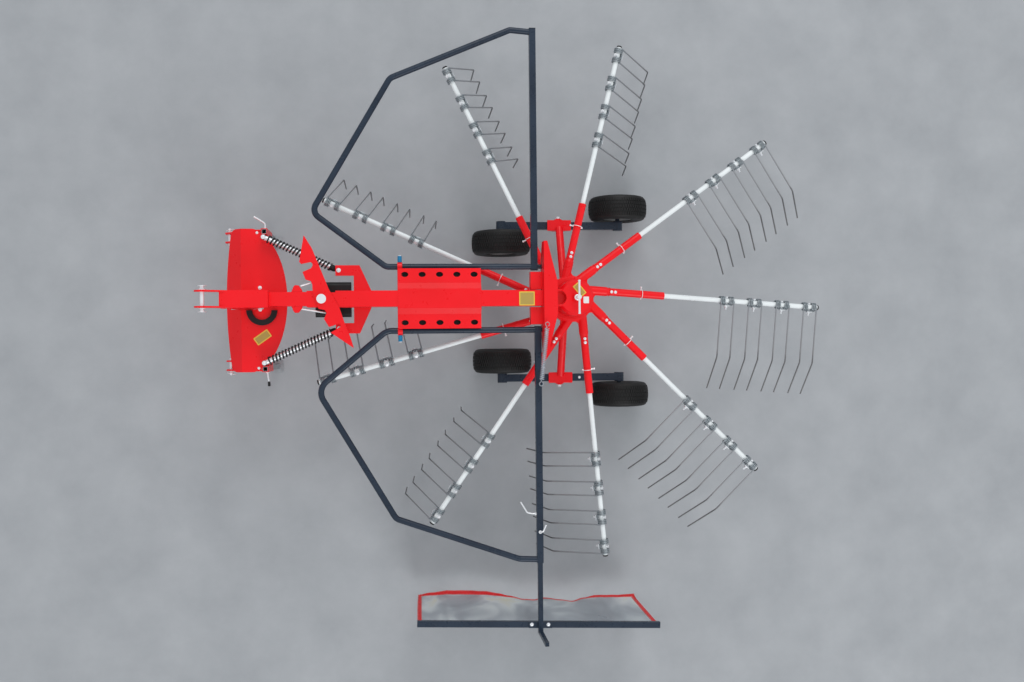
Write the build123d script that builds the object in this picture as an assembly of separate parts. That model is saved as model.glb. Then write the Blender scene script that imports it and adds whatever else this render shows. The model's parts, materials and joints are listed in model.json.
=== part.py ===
from build123d import *
import os
from math import hypot, radians, sqrt, tan

# Single rotor hay rake, a mounted rotary rake with nine tine arms, a swivelling three-point
# headstock, two folding guard frames, a swath curtain and four wheels in two bogies.
# Units are millimetres and +Z is up. The front, where the tractor is, is towards -X, and +Y is the
# machine's right-hand side. Everything is drawn about the rotor's axis, and then moved so that the
# origin lies on the ground in the middle of the whole machine.

# Rotor axis, from the middle of the machine
ROTOR_X = 312.0
ROTOR_Y = 221.1

# Fits
SEAT = 0.3  # gap at which one piece lies on another
RUNNING = 0.08  # radial clearance of a shaft in its bore
CLEAR = 6.0  # least gap between pieces that pass each other

# Wheels, size 16 x 6.50 - 8
TYRE_D = 406.0
TYRE_W = 165.0
SHOULDER = 16.0
TREAD_HALF = 30.0
RIM_D = 203.0
RIM_WALL = 5.0
RIM_DISC = 8.0
BEAD_INSET = 15.0
BEAD_FLARE = 34.0
HUB_R = 34.0
HUB_LENGTH = 96.0
STUB_R = 15.0
STUB_END = 8.0
AXLE_Z = TYRE_D / 2
WHEEL_FRONT_X = -400.0
WHEEL_REAR_X = 421.0

# Bogie beams
BOGIE_Y = 526.0
BOGIE_W = 50.0
BOGIE_H = 60.0
BOGIE_END = 30.0
BOGIE_BOSS_R = 33.0
BOGIE_BOSS_OUT = 6.0
WHEEL_GAP = 12.0

# Axle: centre block, falling tubes, and a saddle with a pivot pin over each bogie beam
AXLE_TOP_Z = 455.0
AXLE_BLOCK = 160.0
AXLE_BLOCK_LOW = 60.0
AXLE_BLOCK_HIGH = 30.0
AXLE_TUBE_R = 26.0
AXLE_TUBE_START = 60.0
SADDLE_LENGTH = 165.0
SADDLE_FOOT = 60.0
SADDLE_WALL = 8.0
SADDLE_GAP = 3.0
SADDLE_RISE = 12.0
PIVOT_R = 16.0
PIVOT_NUT_R = 28.0
PIVOT_NUT_T = 8.0
PIVOT_OUT = 14.0

# Rotor: hub, nine sockets and nine arms
ARM_COUNT = 9
ARM_FIRST = -4.34
ARM_Z = 685.0
ARM_DROOP = 3.0
ARM_OFFSET = 65.0
ARM_R = 16.0
SOCKET_R = 24.5
SOCKET_END = 626.0
SOCKET_DEPTH = 215.0
BOSS_R = 30.0
BOSS_START = 70.0
BOSS_END = 232.0
BOSS_TAPER = 22.0
WEB_W = 48.0
WEB_H = 30.0
WEB_FILLET = 34.0
HUB_DRUM_R = 150.0
HUB_LOW_Z = 602.0
HUB_TOP_Z = 715.0
HUB_EDGE = 15.0
COLUMN_R = 46.0
CAM_R = 140.0
CAM_LOW_Z = 545.0
CAM_EDGE = 13.0
CAM_GAP = 8.0
COLUMN_FOOT_R = 75.0
COLUMN_FOOT_H = 20.0

# Spring tines, four pairs on an arm
TINE_FIRST = 1063.0
TINE_PITCH = 195.25
TINE_PAIRS = 4
ARM_OVER = 58.0
ARM_END = TINE_FIRST + TINE_PITCH * (TINE_PAIRS - 1) + ARM_OVER
# the cam's roll of each arm, in degrees back from straight down, from the first arm anticlockwise
CAM_ROLL = [88.0, 81.0, 42.0, 32.0, 30.0, 38.0, 32.0, 52.0, 86.0]
WIRE_R = 5.0
COIL_R = 31.0
COIL_LENGTH = 38.0
COIL_MIDDLE = 31.0
TINE_UPPER = 378.0
TINE_LOWER = 263.0
TINE_KINK = 34.0
CLAMP_H = 18.0

# Gearbox housing over the hub, with its neck to the beam, and the height crank
HOUSING_R = 114.0
HOUSING_LOW_Z = 722.0
HOUSING_TOP_Z = 900.0
HOUSING_EDGE = 16.0
NECK_X = -200.0
NECK_HALF = 54.0
NECK_TOP = 2.0
FILLER_X = -104.0
FILLER_R = 43.0
FILLER_DEPTH = 55.0
SPINDLE_BOSS_R = 24.0
SPINDLE_BOSS_H = 42.0
SPINDLE_R = 11.0
CRANK_Z = 1012.0
CRANK_HALF = 104.0
CRANK_R = 7.0

# Swivel pivot of the headstock, and the drawbar behind it
PIVOT_X = -1585.0
BEAM_W = 100.0
BEAM_LOW_Z = 800.0
BEAM_TOP_Z = 900.0
BEAM_BACK = 85.0
NOSE_HALF = 40.0
NOSE_DEPTH = 40.0
SWIVEL_R = 20.0
SWIVEL_HEAD = 9.0
SWIVEL_HEAD_T = 14.0
SWIVEL_BOSS_R = 48.0
CLEVIS_R = 50.0
CLEVIS_T = 15.0
CLEVIS_GAP = 5.0
CLEVIS_LOW_Z = BEAM_LOW_Z - CLEVIS_T
CLEVIS_TOP_Z = BEAM_TOP_Z

# Lock plate over the swivel: plan corners from the pivot; the left tip clears the folding guard
LOCK_Z = CLEVIS_TOP_Z + CLEVIS_GAP
LOCK_T = 10.0
LOCK_PAD = (59.0, 75.0)
LOCK_PAD_HALF = 20.0
LOCK_OUTLINE = [
    (-103, 389), (-55, 310), (45, 61), (108, -52), (142, -156), (174, -235), (194, -304),
    (54, -207), (85, -190), (113, -174), (117, -163), (111, -152), (82, -161), (45, -173),
    (15, -124), (31, -87), (20, -69), (-17, -61), (-52, 40), (-54, 88), (-62, 108), (-94, 118),
    (-112, 164), (-60, 188), (-51, 202), (-52, 216), (-62, 225), (-120, 213), (-131, 226),
]

# Yoke under the beam, from the pivot
YOKE_FRONT = 81.0
YOKE_INSIDE = 194.0
YOKE_SHOULDER = 230.0
YOKE_BACK = 302.0
YOKE_OUTER = 213.0
YOKE_INNER = 148.0
YOKE_T = 12.0

# Drive line and its shroud, from the pivot
DRIVE_Z = 756.0
DRIVE_R = 20.0
SPLINE_R = 17.4
SPLINE_LENGTH = 100.0
SPLINE_FRONT = -75.0
SHROUD_FRONT = -45.0
SHROUD_LENGTH = 222.0
SHROUD_HALF = 110.0
SHROUD_BELOW = 34.0
SHROUD_CORNER = 24.0
SHROUD_WALL = 3.0
SHROUD_PAD_HALF = 30.0

# Tread plate over the beam
COVER_FRONT_X = -1118.0
COVER_REAR_X = -600.0
COVER_HALF = 188.0
COVER_FLAT = 60.0
COVER_SLOPE = 36.0
COVER_DROP = 25.0
COVER_T = 5.0
COVER_HOLES = 5
COVER_PITCH = 108.0
COVER_HOLE_LONG = 44.0
COVER_HOLE_WIDE = 32.0
COVER_HOLE_Y = 150.0

# Guard frames; plan corners of each loop from the front of its hinge tube: x, y, bend radius
GUARD_Z = 840.0
GUARD_R = 19.0
GUARD_HINGE_Y = 200.0
GUARD_TUBE = 40.0
GUARD_RIGHT_X = -258.0
GUARD_LEFT_X = -238.0
RIGHT_LOOP = [(-1190, 200, 60), (-1645, 540, 60), (-1155, 1377, 60), (-400, 1695, 30)]
LEFT_LOOP = [(-1190, 200, 90), (-1622, 560, 90), (-1142, 1372, 60), (-370, 1648, 120)]
RIGHT_REACH = 1684.0
LEFT_REACH = 1655.0
HINGE_PIN_R = 14.0
HINGE_PIN_OUT = 14.0
COLLAR_X = -1105.0
COLLAR_R = 28.0
COLLAR_LENGTH = 30.0
COLLAR_ARM_H = 16.0
KNOB_R = 13.0
KNOB_LENGTH = 38.0

# Cross bracket over the beam's rear end: kite-shaped top and front flange
KITE_Z = 945.0
KITE_T = 6.0
KITE_HALF = 354.0
KITE_TIP = 22.0
KITE_DEPTH = 86.0
KITE_FLAT = 100.0
FLANGE_T = 6.0
FLANGE_GAP = 7.0
FLANGE_X = GUARD_LEFT_X + GUARD_TUBE / 2 + FLANGE_GAP
FLANGE_END_H = 82.0
FLANGE_BELOW = 36.0
FLANGE_WIDE = 240.0
WEB_T = 8.0
WEB_REAR_X = -140.0
SHELF_X = -285.0
SHELF_H = 62.0
SPRING_HOOK = (-196.0, -167.0)
SPRING_POST_Y = -538.0
SPRING_Z = 973.0
SPRING_PIN_R = 7.5
SPRING_R = 14.0
SPRING_EYE_R = 15.0
SPRING_WIRE_R = 2.5

# Swath curtain on its sliding tube
CURTAIN_TUBE = 30.0
CURTAIN_TUBE_START = -1250.0
CURTAIN_TRAVEL = 250.0
CURTAIN_STOP = 40.0
CURTAIN_Y = -2074.0
CURTAIN_YAW = -2.5
CURTAIN_LENGTH = 1560.0
BAR_W = 38.0
BAR_H = 30.0
BAR_PLATE = 150.0
BAR_PLATE_T = 8.0
SHEET_INSET = 4.0
SHEET_LOW_Z = 105.0
SHEET_TOP_T = 30.0
SHEET_LOW_T = 96.0
POST_W = 24.0
POST_TOP_Z = 1120.0

# Headstock, category 2 three-point linkage; x is measured from the swivel pivot
LINK_SPREAD = 822.0
LINK_GAP = 48.0
LINK_PLATE = 10.0
LINK_X = -602.0
LINK_Z = 480.0
LOWER_PIN_R = 14.3
PIN_OVER = 12.0
CROSS_FRONT = -555.0
CROSS_TUBE = 80.0
PLATE_REAR_X = -340.0
TOP_PIN_R = 12.7
TOP_PIN_X = -700.0
TOP_PIN_Z = 985.0
TOP_PIN_HALF = 80.0
EAR_Y = 48.0
EAR_T = 10.0
EAR_OUTLINE = [(-605, 885), (-565, 885), (-565, 960), (-677, 1016), (-723, 1016), (-745, 994),
               (-745, 966), (-715, 945)]
MAST_LOW = (-555, -445)
MAST_TOP = (-575, -375)
HEAD_X = (-605, -317)
HEAD_Z = (882, 960)
NECK_BOX_END = -85.0
NECK_BOX_HALF = 43.0
SHIELD_Z = 700.0
SHIELD_T = 5.0
SHIELD_HALF = 450.0
SHIELD_REAR = -223.0
SHIELD_REAR_A = 250.0
SHIELD_REAR_B = 456.0
SHIELD_CREASE = -505.0
SHIELD_FRONT = -609.0
SHIELD_FRONT_R = 2650.0
SHIELD_DROP = 100.0
LEG_X = -360.0
LEG_Y = 430.0
LEG_TUBE = 30.0
LEG_WALL = 3.5
LEG_SOCKET = 38.0
SOCKET_LOW_Z = 450.0
SOCKET_TOP_Z = 742.0
LEG_TOP_Z = 736.0
FOOT = 76.0
FOOT_T = 6.0
STRUT_Z = 757.0
STRUT_FRONT = (-361.0, 392.0)
STRUT_REAR = (101.0, 182.0)
STRUT_ROD_R = 8.0
STRUT_SPRING_R = 27.0
STRUT_CAP_R = 19.0
EYE_R = 16.0
EYE_H = 24.0
EYE_PIN_R = 8.0
HOOK_X = -380.0
HOOK_Y = -62.0
HOOK_R = 95.0
HOOK_BAND = 35.0
HOOK_T = 20.0

RIGHT, LEFT = 1, -1


def box(x, y, z):
    """A block between two x, two y and two z values."""
    return Pos((x[0] + x[1]) / 2, (y[0] + y[1]) / 2, (z[0] + z[1]) / 2) * Box(
        abs(x[1] - x[0]), abs(y[1] - y[0]), abs(z[1] - z[0])
    )


def rod(start, end, radius):
    """A round bar from one point to another."""
    start, end = Vector(*start), Vector(*end)
    plane = Plane(origin=start, z_dir=end - start)
    return extrude(plane * Circle(radius), (end - start).length)


def plate(corners, low_z, high_z):
    """A flat plate with the given plan corners."""
    outline = make_face(Polyline(*corners, close=True))
    return extrude(Pos(0, 0, low_z) * outline, high_z - low_z)


def upright(corners, low_y, high_y):
    """A plate in side view, from x, z corners, between two y values."""
    plane = Plane(origin=(0, low_y, 0), x_dir=(1, 0, 0), z_dir=(0, -1, 0))
    return extrude(plane * make_face(Polyline(*corners, close=True)), low_y - high_y)


def across(corners, low_x, high_x):
    """A plate in front view, from y, z corners, between two x values."""
    plane = Plane(origin=(low_x, 0, 0), x_dir=(0, 1, 0), z_dir=(1, 0, 0))
    return extrude(plane * make_face(Polyline(*corners, close=True)), high_x - low_x)


def turned(profile):
    """A solid of revolution about Z from corners given as radius, height."""
    return revolve(Plane.XZ * make_face(Polyline(*profile, close=True)), Axis.Z)


def mirrored(shape, side):
    """The shape drawn on the right, or its mirror on the left."""
    return shape if side == RIGHT else mirror(shape, Plane.XZ)


# ------------------------------------------------------------------------------ wheels and axle
def make_tyre():
    """Tyre with rounded shoulders and a bead seat, its axle along Y at the origin."""
    outer, bead, half = TYRE_D / 2, RIM_D / 2, TYRE_W / 2
    seat = half - BEAD_INSET
    right_side = [
        (TREAD_HALF, outer), (half - SHOULDER, outer - SHOULDER / 4), (half, outer - SHOULDER * 1.25),
        (half, bead + BEAD_FLARE), (seat, bead),
    ]
    left_side = [(-x, y) for x, y in reversed(right_side)]
    section = make_face(Polyline(*left_side, *right_side, close=True))
    return Rot(0, 0, 90) * revolve(section, Axis.X)


def make_rim(side):
    """Disc wheel with its hub, its axle along Y at the origin."""
    bead, half = RIM_D / 2 - SEAT, TYRE_W / 2 - BEAD_INSET + 1
    well, bore, long = bead - RIM_WALL, STUB_R + RUNNING, HUB_LENGTH / 2
    barrel = turned(
        [
            (well, -half), (bead, -half), (bead, half), (well, half), (well, RIM_DISC),
            (HUB_R, RIM_DISC * 0.75), (HUB_R, long), (bore, long), (bore, -long), (HUB_R, -long),
            (HUB_R, -RIM_DISC / 2), (well, -RIM_DISC / 2),
        ]
    )
    return Rot(90 * side, 0, 0) * barrel


def wheel_places():
    """Name, x, y and side of each wheel; the front wheels are inside the beams, the rear ones outside."""
    step = BOGIE_W / 2 + WHEEL_GAP + TYRE_W / 2
    for side, word in ((RIGHT, "right"), (LEFT, "left")):
        yield f"front_{word}", WHEEL_FRONT_X, side * (BOGIE_Y - step), -side
        yield f"rear_{word}", WHEEL_REAR_X, side * (BOGIE_Y + step), side


def make_bogie(side):
    """Beam with a boss and a stub axle at each end and a bored pivot in the middle."""
    ends = (WHEEL_FRONT_X - BOGIE_END, WHEEL_REAR_X + BOGIE_END)
    faces = (BOGIE_Y - BOGIE_W / 2, BOGIE_Y + BOGIE_W / 2)
    beam = box(ends, faces, (AXLE_Z - BOGIE_H / 2, AXLE_Z + BOGIE_H / 2))
    beam = fillet(beam.edges().filter_by(Axis.Y), min(BOGIE_END, BOGIE_H / 2) - 2)
    boss = BOGIE_W / 2 + BOGIE_BOSS_OUT
    reach = BOGIE_W / 2 + WHEEL_GAP + TYRE_W / 2 + HUB_LENGTH / 2 + STUB_END
    for x, outward in ((WHEEL_FRONT_X, -1), (WHEEL_REAR_X, 1)):
        beam += rod((x, BOGIE_Y - boss, AXLE_Z), (x, BOGIE_Y + boss, AXLE_Z), BOGIE_BOSS_R)
        beam += rod((x, BOGIE_Y, AXLE_Z), (x, BOGIE_Y + outward * reach, AXLE_Z), STUB_R)
    beam -= rod((0, faces[0] - 1, AXLE_Z), (0, faces[1] + 1, AXLE_Z), PIVOT_R + RUNNING)
    return mirrored(beam, side)


def make_axle():
    """Centre block, two falling tubes and a saddle with a pivot pin over each bogie beam."""
    inner = BOGIE_Y - BOGIE_W / 2 - SADDLE_GAP
    outer = BOGIE_Y + BOGIE_W / 2 + SADDLE_GAP
    roof = AXLE_Z + BOGIE_H / 2 + SADDLE_RISE
    half, foot = SADDLE_LENGTH / 2, SADDLE_FOOT / 2
    low = AXLE_Z - PIVOT_R - 10
    block = AXLE_BLOCK / 2
    axle = box((-block, block), (-block, block), (AXLE_TOP_Z - AXLE_BLOCK_LOW, AXLE_TOP_Z + AXLE_BLOCK_HIGH))
    cheek = [(-half, roof), (half, roof), (foot, low), (-foot, low)]
    for side in (RIGHT, LEFT):
        saddle = box((-half, half), (inner - SADDLE_WALL, outer + SADDLE_WALL), (roof, roof + SADDLE_WALL))
        saddle += upright(cheek, inner - SADDLE_WALL, inner)
        saddle += upright(cheek, outer, outer + SADDLE_WALL)
        saddle += rod((0, AXLE_TUBE_START, AXLE_TOP_Z - 12), (0, BOGIE_Y - 18, roof + 6), AXLE_TUBE_R)
        saddle -= box((-half, half), (inner, outer), (low - AXLE_TUBE_R, roof))
        outside = outer + SADDLE_WALL
        saddle += rod((0, inner - SADDLE_WALL - 6, AXLE_Z), (0, outside + PIVOT_OUT, AXLE_Z), PIVOT_R)
        saddle += rod((0, outside, AXLE_Z), (0, outside + PIVOT_NUT_T, AXLE_Z), PIVOT_NUT_R)
        axle += mirrored(saddle, side)
    return axle


# ------------------------------------------------------------------------------ rotor
def make_column():
    """Fixed column through the hub, with the closed cam housing under it."""
    base = AXLE_TOP_Z + AXLE_BLOCK_HIGH
    top = HUB_LOW_Z - CAM_GAP
    return turned(
        [
            (0, base), (COLUMN_FOOT_R, base), (COLUMN_FOOT_R, base + COLUMN_FOOT_H),
            (CAM_R - CAM_EDGE, CAM_LOW_Z - CAM_EDGE), (CAM_R, CAM_LOW_Z), (CAM_R, top), (COLUMN_R, top),
            (COLUMN_R, HOUSING_LOW_Z), (0, HOUSING_LOW_Z),
        ]
    )


def arm_turn(index):
    """Turn of an arm about the rotor's axis, in degrees."""
    return ARM_FIRST + 360.0 / ARM_COUNT * index


def arm_place(index):
    """Location of an arm: its X runs outwards along the arm, and its Y points ahead in the turn."""
    return Rot(0, 0, arm_turn(index)) * Pos(0, ARM_OFFSET, ARM_Z) * Rot(0, ARM_DROOP, 0)


def along_arm(start, end, radius):
    """A round bar along an arm's own X."""
    return rod((start, 0, 0), (end, 0, 0), radius)


def make_hub():
    """Turning drum cast in one with nine webbed bosses, and the arm sockets in them."""
    bore = COLUMN_R + RUNNING
    drum = turned(
        [
            (bore, HUB_LOW_Z), (HUB_DRUM_R - HUB_EDGE, HUB_LOW_Z), (HUB_DRUM_R, HUB_LOW_Z + HUB_EDGE),
            (HUB_DRUM_R, HUB_TOP_Z - HUB_EDGE), (HUB_DRUM_R - HUB_EDGE, HUB_TOP_Z), (bore, HUB_TOP_Z),
        ]
    )
    spoke = Pos(BOSS_END / 2, ARM_OFFSET) * Rectangle(BOSS_END, WEB_W)
    star = Circle(ARM_OFFSET + WEB_W / 2 + 3)
    for index in range(ARM_COUNT):
        star += Rot(0, 0, arm_turn(index)) * spoke
    notches = [v for v in star.vertices() if hypot(v.X, v.Y) < BOSS_END - WEB_W]
    star = fillet(notches, WEB_FILLET)
    web_z = ARM_Z - (HUB_DRUM_R + WEB_FILLET) * tan(radians(ARM_DROOP)) - WEB_H / 2
    hub = drum + extrude(Pos(0, 0, web_z) * star, WEB_H)
    for index in range(ARM_COUNT):
        boss = along_arm(BOSS_START, BOSS_END, BOSS_R) + along_arm(BOSS_END, SOCKET_END, SOCKET_R)
        boss += Pos(BOSS_END, 0, 0) * Rot(0, 90, 0) * Cone(
            BOSS_R, SOCKET_R, BOSS_TAPER, align=(Align.CENTER, Align.CENTER, Align.MIN)
        )
        boss -= along_arm(SOCKET_END - SOCKET_DEPTH, SOCKET_END + 1, ARM_R + SEAT)
        hub += arm_place(index) * boss
    return hub - rod((0, 0, HUB_LOW_Z - 1), (0, 0, HUB_TOP_Z + 1), bore)


def make_arm(index):
    """Tine arm, plugged into its socket."""
    return arm_place(index) * along_arm(SOCKET_END - SOCKET_DEPTH + SEAT, ARM_END, ARM_R)


def make_double_tine():
    """Two coils round the arm, joined by the clamped loop, each with a kinked tine. Straight down is -Z."""
    leave = COIL_R - WIRE_R - 1
    knee = Vector(0, -leave, -TINE_UPPER)
    tip = knee + Vector(0, 0, -TINE_LOWER).rotate(Axis.X, TINE_KINK)
    gap = COIL_MIDDLE - COIL_LENGTH / 2
    pair = box((-gap - 1, gap + 1), (-COIL_R, -ARM_R - 2), (-CLAMP_H / 2, CLAMP_H / 2))
    for end in (-1, 1):
        coil = along_arm(end * gap, end * (gap + COIL_LENGTH), COIL_R)
        coil -= along_arm(end * (gap - 1), end * (gap + COIL_LENGTH + 1), ARM_R + SEAT)
        x = end * (gap + COIL_LENGTH - WIRE_R - 1)
        line = Polyline((x, -leave, 0), (x, knee.Y, knee.Z), (x, tip.Y, tip.Z))
        wire = sweep(Plane(origin=line @ 0, z_dir=line % 0) * Circle(WIRE_R), line, transition=Transition.RIGHT)
        pair += coil + wire
    return pair


def make_tines(index, pair):
    """The four double tines of one arm, rolled to where the cam holds them."""
    roll = Rot(-CAM_ROLL[index], 0, 0)
    places = [Pos(TINE_FIRST + TINE_PITCH * n, 0, 0) for n in range(TINE_PAIRS)]
    return Compound([arm_place(index) * place * roll * pair for place in places])


# ------------------------------------------------------------------------------ drawbar and its fittings
def make_housing():
    """Fixed gearbox housing over the hub, with the filler opening in its neck to the beam."""
    low, top = HOUSING_LOW_Z, HOUSING_TOP_Z
    body = turned([(0, low), (HOUSING_R, low), (HOUSING_R, top - HOUSING_EDGE),
                   (HOUSING_R - HOUSING_EDGE, top), (0, top)])
    body += box((NECK_X, 0), (-NECK_HALF, NECK_HALF), (low, top - NECK_TOP))
    body += rod((0, 0, top), (0, 0, top + SPINDLE_BOSS_H), SPINDLE_BOSS_R)
    return body - rod((FILLER_X, 0, top - FILLER_DEPTH), (FILLER_X, 0, top + 5), FILLER_R)


def make_crank():
    """Height spindle with its cross handle."""
    crank = rod((0, 0, HOUSING_TOP_Z + SPINDLE_BOSS_H), (0, 0, CRANK_Z), SPINDLE_R)
    return crank + rod((0, -CRANK_HALF, CRANK_Z), (0, CRANK_HALF, CRANK_Z), CRANK_R)


def make_drawbar():
    """Box beam with the swivel boss in front and the guard hinge collars beside it."""
    half, front = BEAM_W / 2, PIVOT_X + BEAM_BACK
    low, high = CLEVIS_LOW_Z + CLEVIS_T + CLEVIS_GAP, CLEVIS_TOP_Z - CLEVIS_T - CLEVIS_GAP
    step = PIVOT_X + CLEVIS_R + CLEVIS_GAP
    beam = box((front, NECK_X - SEAT), (-half, half), (BEAM_LOW_Z, BEAM_TOP_Z))
    beam += rod((PIVOT_X, 0, low), (PIVOT_X, 0, high), SWIVEL_BOSS_R)
    beam += box((PIVOT_X, front + NOSE_DEPTH), (-NOSE_HALF, NOSE_HALF), (low, high))
    beam += box((step, front + NOSE_DEPTH), (-NOSE_HALF, NOSE_HALF), (low, BEAM_TOP_Z))
    beam -= rod((PIVOT_X, 0, low - 1), (PIVOT_X, 0, high + 1), SWIVEL_R + RUNNING)
    x = (COLLAR_X - COLLAR_LENGTH / 2, COLLAR_X + COLLAR_LENGTH / 2)
    for side in (RIGHT, LEFT):
        z = (GUARD_Z - COLLAR_ARM_H / 2, GUARD_Z + COLLAR_ARM_H / 2)
        arm = box(x, (half, GUARD_HINGE_Y - GUARD_R - 2), z)
        arm += rod((x[0], GUARD_HINGE_Y, GUARD_Z), (x[1], GUARD_HINGE_Y, GUARD_Z), COLLAR_R)
        arm -= rod((x[0] - 1, GUARD_HINGE_Y, GUARD_Z), (x[1] + 1, GUARD_HINGE_Y, GUARD_Z), GUARD_R + RUNNING)
        beam += mirrored(arm, side)
    return beam


def make_swivel_pin():
    """Headed pin of the headstock's swivel, through the clevis, the boss and the lock plate."""
    top = LOCK_Z + LOCK_T
    pin = rod((PIVOT_X, 0, CLEVIS_LOW_Z - 4), (PIVOT_X, 0, top), SWIVEL_R)
    return pin + rod((PIVOT_X, 0, top), (PIVOT_X, 0, top + SWIVEL_HEAD_T), SWIVEL_R + SWIVEL_HEAD)


def make_lock_plate():
    """Notched lock plate over the swivel, on the pin and on a pad of the beam's nose."""
    lock = plate(LOCK_OUTLINE, LOCK_Z, LOCK_Z + LOCK_T)
    lock += box(LOCK_PAD, (-LOCK_PAD_HALF, LOCK_PAD_HALF), (BEAM_TOP_Z, LOCK_Z))
    lock -= rod((0, 0, LOCK_Z - 1), (0, 0, LOCK_Z + LOCK_T + 1), SWIVEL_R + RUNNING)
    return Pos(PIVOT_X, 0, 0) * lock


def make_yoke():
    """Forked plate under the beam with the pins of the stabiliser struts' rear eyes."""
    half = [(YOKE_FRONT, YOKE_OUTER), (YOKE_SHOULDER, YOKE_OUTER), (YOKE_BACK, BEAM_W / 2 + 5)]
    inside = [(YOKE_FRONT, YOKE_INNER), (YOKE_INSIDE, YOKE_INNER)]
    corners = half + [(x, -y) for x, y in reversed(half)]
    corners += [(x, -y) for x, y in inside] + list(reversed(inside))
    yoke = plate(corners, BEAM_LOW_Z - YOKE_T, BEAM_LOW_Z)
    x, y = STRUT_REAR
    for side in (RIGHT, LEFT):
        yoke += rod((x, side * y, STRUT_Z - EYE_H / 2 - 2), (x, side * y, BEAM_LOW_Z), EYE_PIN_R)
    return Pos(PIVOT_X, 0, 0) * yoke


def make_shroud():
    """Black shroud round the drive's universal joint, open at the front and the rear."""
    x = (SHROUD_FRONT, SHROUD_FRONT + SHROUD_LENGTH)
    low, high = DRIVE_Z - SHROUD_BELOW, CLEVIS_LOW_Z - CLEVIS_GAP
    half, wall, corner = SHROUD_HALF, SHROUD_WALL, SHROUD_CORNER
    outer = fillet(box(x, (-half, half), (low, high)).edges().filter_by(Axis.X), corner)
    hollow = box((x[0] - 9, x[1] + 9), (wall - half, half - wall), (low + wall, high - wall))
    shroud = outer - fillet(hollow.edges().filter_by(Axis.X), corner - wall)
    pad = box((x[1] - 82, x[1] - 2), (-SHROUD_PAD_HALF, SHROUD_PAD_HALF), (high - wall, BEAM_LOW_Z))
    return Pos(PIVOT_X, 0, 0) * (shroud + pad)


def make_drive_shaft():
    """Drive line under the beam with its splined end at the front."""
    front = PIVOT_X + SPLINE_FRONT
    spline = front + SPLINE_LENGTH
    shaft = rod((spline, 0, DRIVE_Z), (NECK_X - SEAT, 0, DRIVE_Z), DRIVE_R)
    return shaft + rod((front, 0, DRIVE_Z), (spline, 0, DRIVE_Z), SPLINE_R)


def make_cover_plate():
    """Folded tread plate over the beam, with a row of oval holes along each edge."""
    top, low, t = BEAM_TOP_Z + COVER_T, BEAM_TOP_Z + COVER_T - COVER_DROP, COVER_T
    edge = COVER_FLAT + COVER_SLOPE
    under = [(COVER_FLAT, top - t), (edge, low - t), (COVER_HALF, low - t)]
    over = [(COVER_HALF, low), (edge + 1, low), (COVER_FLAT + 1, top)]
    corners = under + over
    corners += [(-y, z) for y, z in reversed(corners)]
    cover = across(corners, COVER_FRONT_X, COVER_REAR_X)
    middle = (COVER_FRONT_X + COVER_REAR_X) / 2
    for n in range(COVER_HOLES):
        x = middle + (n - (COVER_HOLES - 1) / 2) * COVER_PITCH
        for side in (RIGHT, LEFT):
            y = side * COVER_HOLE_Y
            hole = Pos(x, y, low - t - 1) * Ellipse(COVER_HOLE_LONG / 2, COVER_HOLE_WIDE / 2)
            cover -= extrude(hole, t + 2)
    return cover


def make_cross_bracket():
    """Kite-shaped bracket over the beam's rear end; its front flange carries the guards' rear pivots."""
    front, back = FLANGE_X, FLANGE_X + FLANGE_T
    top, under = KITE_Z, GUARD_Z - FLANGE_BELOW
    ends = [(front, KITE_HALF), (front + KITE_TIP, KITE_HALF), (front + KITE_DEPTH, KITE_FLAT)]
    bracket = plate(ends + [(x, -y) for x, y in reversed(ends)], top, top + KITE_T)
    side_view = [(FLANGE_WIDE, under), (KITE_HALF, top - FLANGE_END_H), (KITE_HALF, top)]
    flange = across(side_view + [(-y, z) for y, z in reversed(side_view)], front, back)
    beam = BEAM_W / 2 + 1
    bracket += flange - box((front - 1, back + 1), (-beam, beam), (BEAM_LOW_Z - 1, BEAM_TOP_Z + 1))
    web = (NECK_HALF + 2, NECK_HALF + 2 + WEB_T)
    shelf_end = GUARD_HINGE_Y - GUARD_TUBE / 2 * sqrt(2) - CLEAR
    for side in (RIGHT, LEFT):
        bore = (side * GUARD_HINGE_Y, GUARD_Z)
        piece = box((front, WEB_REAR_X), (side * web[0], side * web[1]), (under, top))
        piece += box((SHELF_X, front), (side * web[0], side * shelf_end), (under, under + SHELF_H))
        bracket += piece
        bracket -= rod((front - 5, *bore), (back + 5, *bore), HINGE_PIN_R + RUNNING)
    return bracket + rod((*SPRING_HOOK, top), (*SPRING_HOOK, SPRING_Z + 12), SPRING_PIN_R)


def make_guard(side, x, loop, reach):
    """Folding loop of round tube with its square cross tube; it hinges on its own inner tube."""
    half = GUARD_TUBE / 2
    points = [(x, GUARD_HINGE_Y)] + [(px, py) for px, py, _ in loop] + [(x, reach)]
    line = FilletPolyline(*[(px, side * py, GUARD_Z) for px, py in points], radius=[r for _, _, r in loop])
    guard = sweep(Plane(origin=line @ 0, z_dir=line % 0) * Circle(GUARD_R), line)
    guard += box((x - half, x + half), (side * (GUARD_HINGE_Y - half), side * (reach + half)),
                 (GUARD_Z - half, GUARD_Z + half))
    if side == LEFT:
        inner = CURTAIN_TUBE / 2 + SEAT
        deep = CURTAIN_TUBE_START + CURTAIN_TRAVEL + CURTAIN_STOP
        guard -= box((x - inner, x + inner), (deep, -reach - half - 1), (GUARD_Z - inner, GUARD_Z + inner))
        guard += rod((x, SPRING_POST_Y, GUARD_Z + half), (x, SPRING_POST_Y, SPRING_Z + 8), SPRING_PIN_R)
    hinge = (side * GUARD_HINGE_Y, GUARD_Z)
    return guard + rod((x, *hinge), (FLANGE_X + FLANGE_T + HINGE_PIN_OUT, *hinge), HINGE_PIN_R)


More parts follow.
